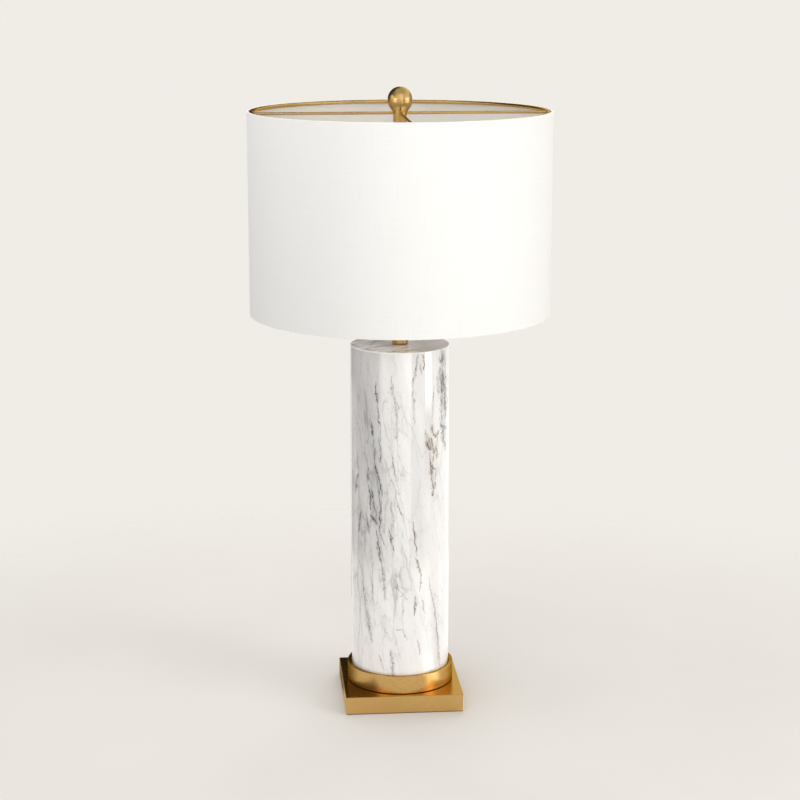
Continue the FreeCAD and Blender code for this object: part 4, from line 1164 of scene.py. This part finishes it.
ground = {
    "radius": 1.2,
    "sides": 96,
    "pale": (0.725, 0.70, 0.67, 1),
    "dull": (0.705, 0.68, 0.65, 1),
    "dark": (0.2, 0.19, 0.18, 1),
    # how far from the axis it turns clear, and how far in what polished surfaces see
    "fade": (0.45, 1.15),
    "shinyFade": (0.6, 0.72),
    # polished surfaces see a table top, a little brighter than the floor: the window is
    # mirrored in it at the right, it is dark beside the lamp at the left, and a soft light
    # lies behind at the right; each has its way round in degrees, and its reach from the axis
    "window": ((44.0, 58.0), (80.0, 68.0)),
    "windowReach": (0.3, 0.2, (0.5, 1.7)),
    "beside": (-80.0, -105.0),
    "besideReach": (0.2, 0.14),
    "besideDark": 0.75,
    "tableGlow": 0.14,
    "behind": ((92.0, 104.0), (178.0, 150.0)),
    "behindReach": (0.19, 0.24, (0.0, 0.45)),
}


def makeFloor():
    bpy.ops.mesh.primitive_circle_add(
        vertices=ground["sides"], radius=ground["radius"], fill_type="NGON", location=(0, 0, 0)
    )
    floor = bpy.context.active_object
    floor.name = "paleFloor"
    material, tree, shader, place = newMaterial(
        "paleFloor", Roughness=1.0, Specular_IOR_Level=0.0, Emission_Strength=1.0
    )
    shiny = tree.nodes.new("ShaderNodeLightPath").outputs["Is Glossy Ray"]
    far = vectorMaths(tree, "LENGTH", place)
    way = bearing(tree, place)
    beside = overlap(tree, way, ground["beside"], far, ground["besideReach"])
    colour = mix(tree, patina(tree, place, *softPatches), ground["pale"], ground["dull"])
    shade = product(tree, beside, shiny, ground["besideDark"])
    colour = mix(tree, shade, colour, ground["dark"])
    window, behind = (
        product(tree, hump(tree, way, *ground[name]), ramp(tree, far, *ground[name + "Reach"]))
        for name in ("window", "behind")
    )
    table = ramp(tree, beside, 0.0, 1.0, (ground["tableGlow"], 0.0), smooth=False)
    glow = product(tree, add(tree, add(tree, window, table), behind), shiny)
    plug(tree, shader, Base_Color=colour, Emission_Color=joinSame(tree, glow))
    near = product(tree, ramp(tree, far, *ground["shinyFade"]), shiny)
    fade = maths(tree, "MAXIMUM", ramp(tree, far, *ground["fade"]), near)
    clear = tree.nodes.new("ShaderNodeBsdfTransparent").outputs[0]
    showMixed(tree, fade, shader.outputs[0], clear)
    floor.data.materials.append(material)


cards = [
    # name, from and to in degrees round, from and to in height, how far its foot fades,
    # distance, brightness
    ("windowCard", 59, 77, 0.0, 0.66, 0.06, 1.7, 3.0),
    ("windowHighCard", 52, 88, 0.757, 0.842, 0, 0.6, 6.4),
    ("windowTopCard", 57, 79, 0.7, 0.96, 0.06, 1.7, 5.5),
    ("leftHighCard", -62, -33, 0.757, 0.83, 0, 0.6, 6.2),
    ("rightRimCard", 104, 160, 0.72, 1.0, 0, 0.6, 0.6),
    ("leftTopCard", -42, -26, 0.7, 0.92, 0.06, 1.7, 3.7),
    ("middleHighCard", 20, 30, 0.755, 0.843, 0, 0.6, 3.0),
    ("rightHighCard", 84, 135, 0.7, 1.5, 0, 1.7, 1.45),
    ("leftHighPanel", -100, -53, 0.758, 1.08, 0, 0.6, 1.4),
    ("paleBackCard", -179, -157, -0.6, 0.16, 0, 1.7, 1.4),
    ("darkHighCard", -180, -100, 0.56, 1.5, 0, 0.45, 0.05),
    ("darkLowCard", -180, -160, 0.0, 0.56, 0, 0.42, 0.02),
    ("darkMiddleCard", 174, 180, 0.0, 0.5, 0, 0.42, 0.05),
]
cardSegments = 360
cardDulling = 0.92


def makeCardMaterial(name, low, fade, bright):
    material, tree, shader, place = newMaterial(
        name,
        Roughness=1.0,
        Emission_Strength=1.0,
        Specular_IOR_Level=0.0,
        Base_Color=(0, 0, 0, 1),
    )
    pale, dull = (
        tuple(level * channel for channel in room["light"][:3]) + (1,)
        for level in (bright, bright * cardDulling)
    )
    plug(tree, shader, Emission_Color=mix(tree, patina(tree, place, *softPatches), pale, dull))
    if fade:
        _, _, z = splitVector(tree, place)
        clear = tree.nodes.new("ShaderNodeBsdfTransparent").outputs[0]
        showMixed(tree, ramp(tree, z, low, low + fade), clear, shader.outputs[0])
    return material


def makeCards():
    # studio cards that only polished surfaces see; each is a slice of a wall round the lamp
    for name, start, end, low, high, fade, distance, bright in cards:
        card = tubeWall(name, distance, low, high, cardSegments)

        def isOutside(face):
            way = math.degrees(math.atan2(face.center.x, -face.center.y)) - camera["turn"]
            return not start < (way + 180) % 360 - 180 < end

        dropFaces(card, isOutside)
        card.data.materials.append(makeCardMaterial(name, low, fade, bright))
        card.visible_camera = card.visible_diffuse = False
        card.visible_shadow = card.visible_transmission = False


def dress(material, *names):
    for name in names:
        nodes[name].data.materials.clear()
        nodes[name].data.materials.append(material)


makeCamera()
makeWorld()
makeLamps()
makeFloor()
makeCards()
print("camera, room and floor ready")

linenMaterial = makeLinen()
makeShade(linenMaterial)
makeSeam(linenMaterial)
makeLiningSheet(makeLining())
print("shade ready")

finish = {name: makePlainFinish(name, *values) for name, values in small.items()}
dress(makeStone(), "marble_column")
dress(plateBrass, "base_plate")
dress(collarBrass, "collar")
dress(turnedBrass, "neck", "shade_hub", "harp_stud")
dress(satinBrass, "finial")
dress(wireBrass, "shade_top_ring")
dress(shadedArmBrass, "shade_arms")
dress(fittingBrass, "harp", "harp_saddle", "harp_sleeve_left", "harp_sleeve_right")
dress(fittingBrass, "socket_cap", "socket_shell", "saddle_nut", "lock_washer")
dress(fittingBrass, "switch_bushing", "switch_shaft", "centre_contact")
dress(finish["zinc"], "threaded_pipe", "clamp_washer", "clamp_nut", "centring_disc")
dress(finish["zinc"], "terminal_screws", "bulb_leads", "bulb_filament", "bulb_contact")
dress(finish["aluminium"], "screw_shell", "bulb_cap")
dress(finish["iron"], "base_weight")
dress(finish["blackPlastic"], "cord_bushing")
dress(finish["phenolic"], "switch_body", "switch_knob")
dress(finish["fibreCard"], "socket_liner")
dress(finish["whiteWire"], "shade_bottom_ring")
dress(finish["blackGlass"], "bulb_insulator")
dress(makeFelt(), "base_pad")
dress(makeBulbGlass(), "bulb_glass", "bulb_stem")
print("finishes ready")

bpy.context.scene.view_settings.view_transform = "Standard"
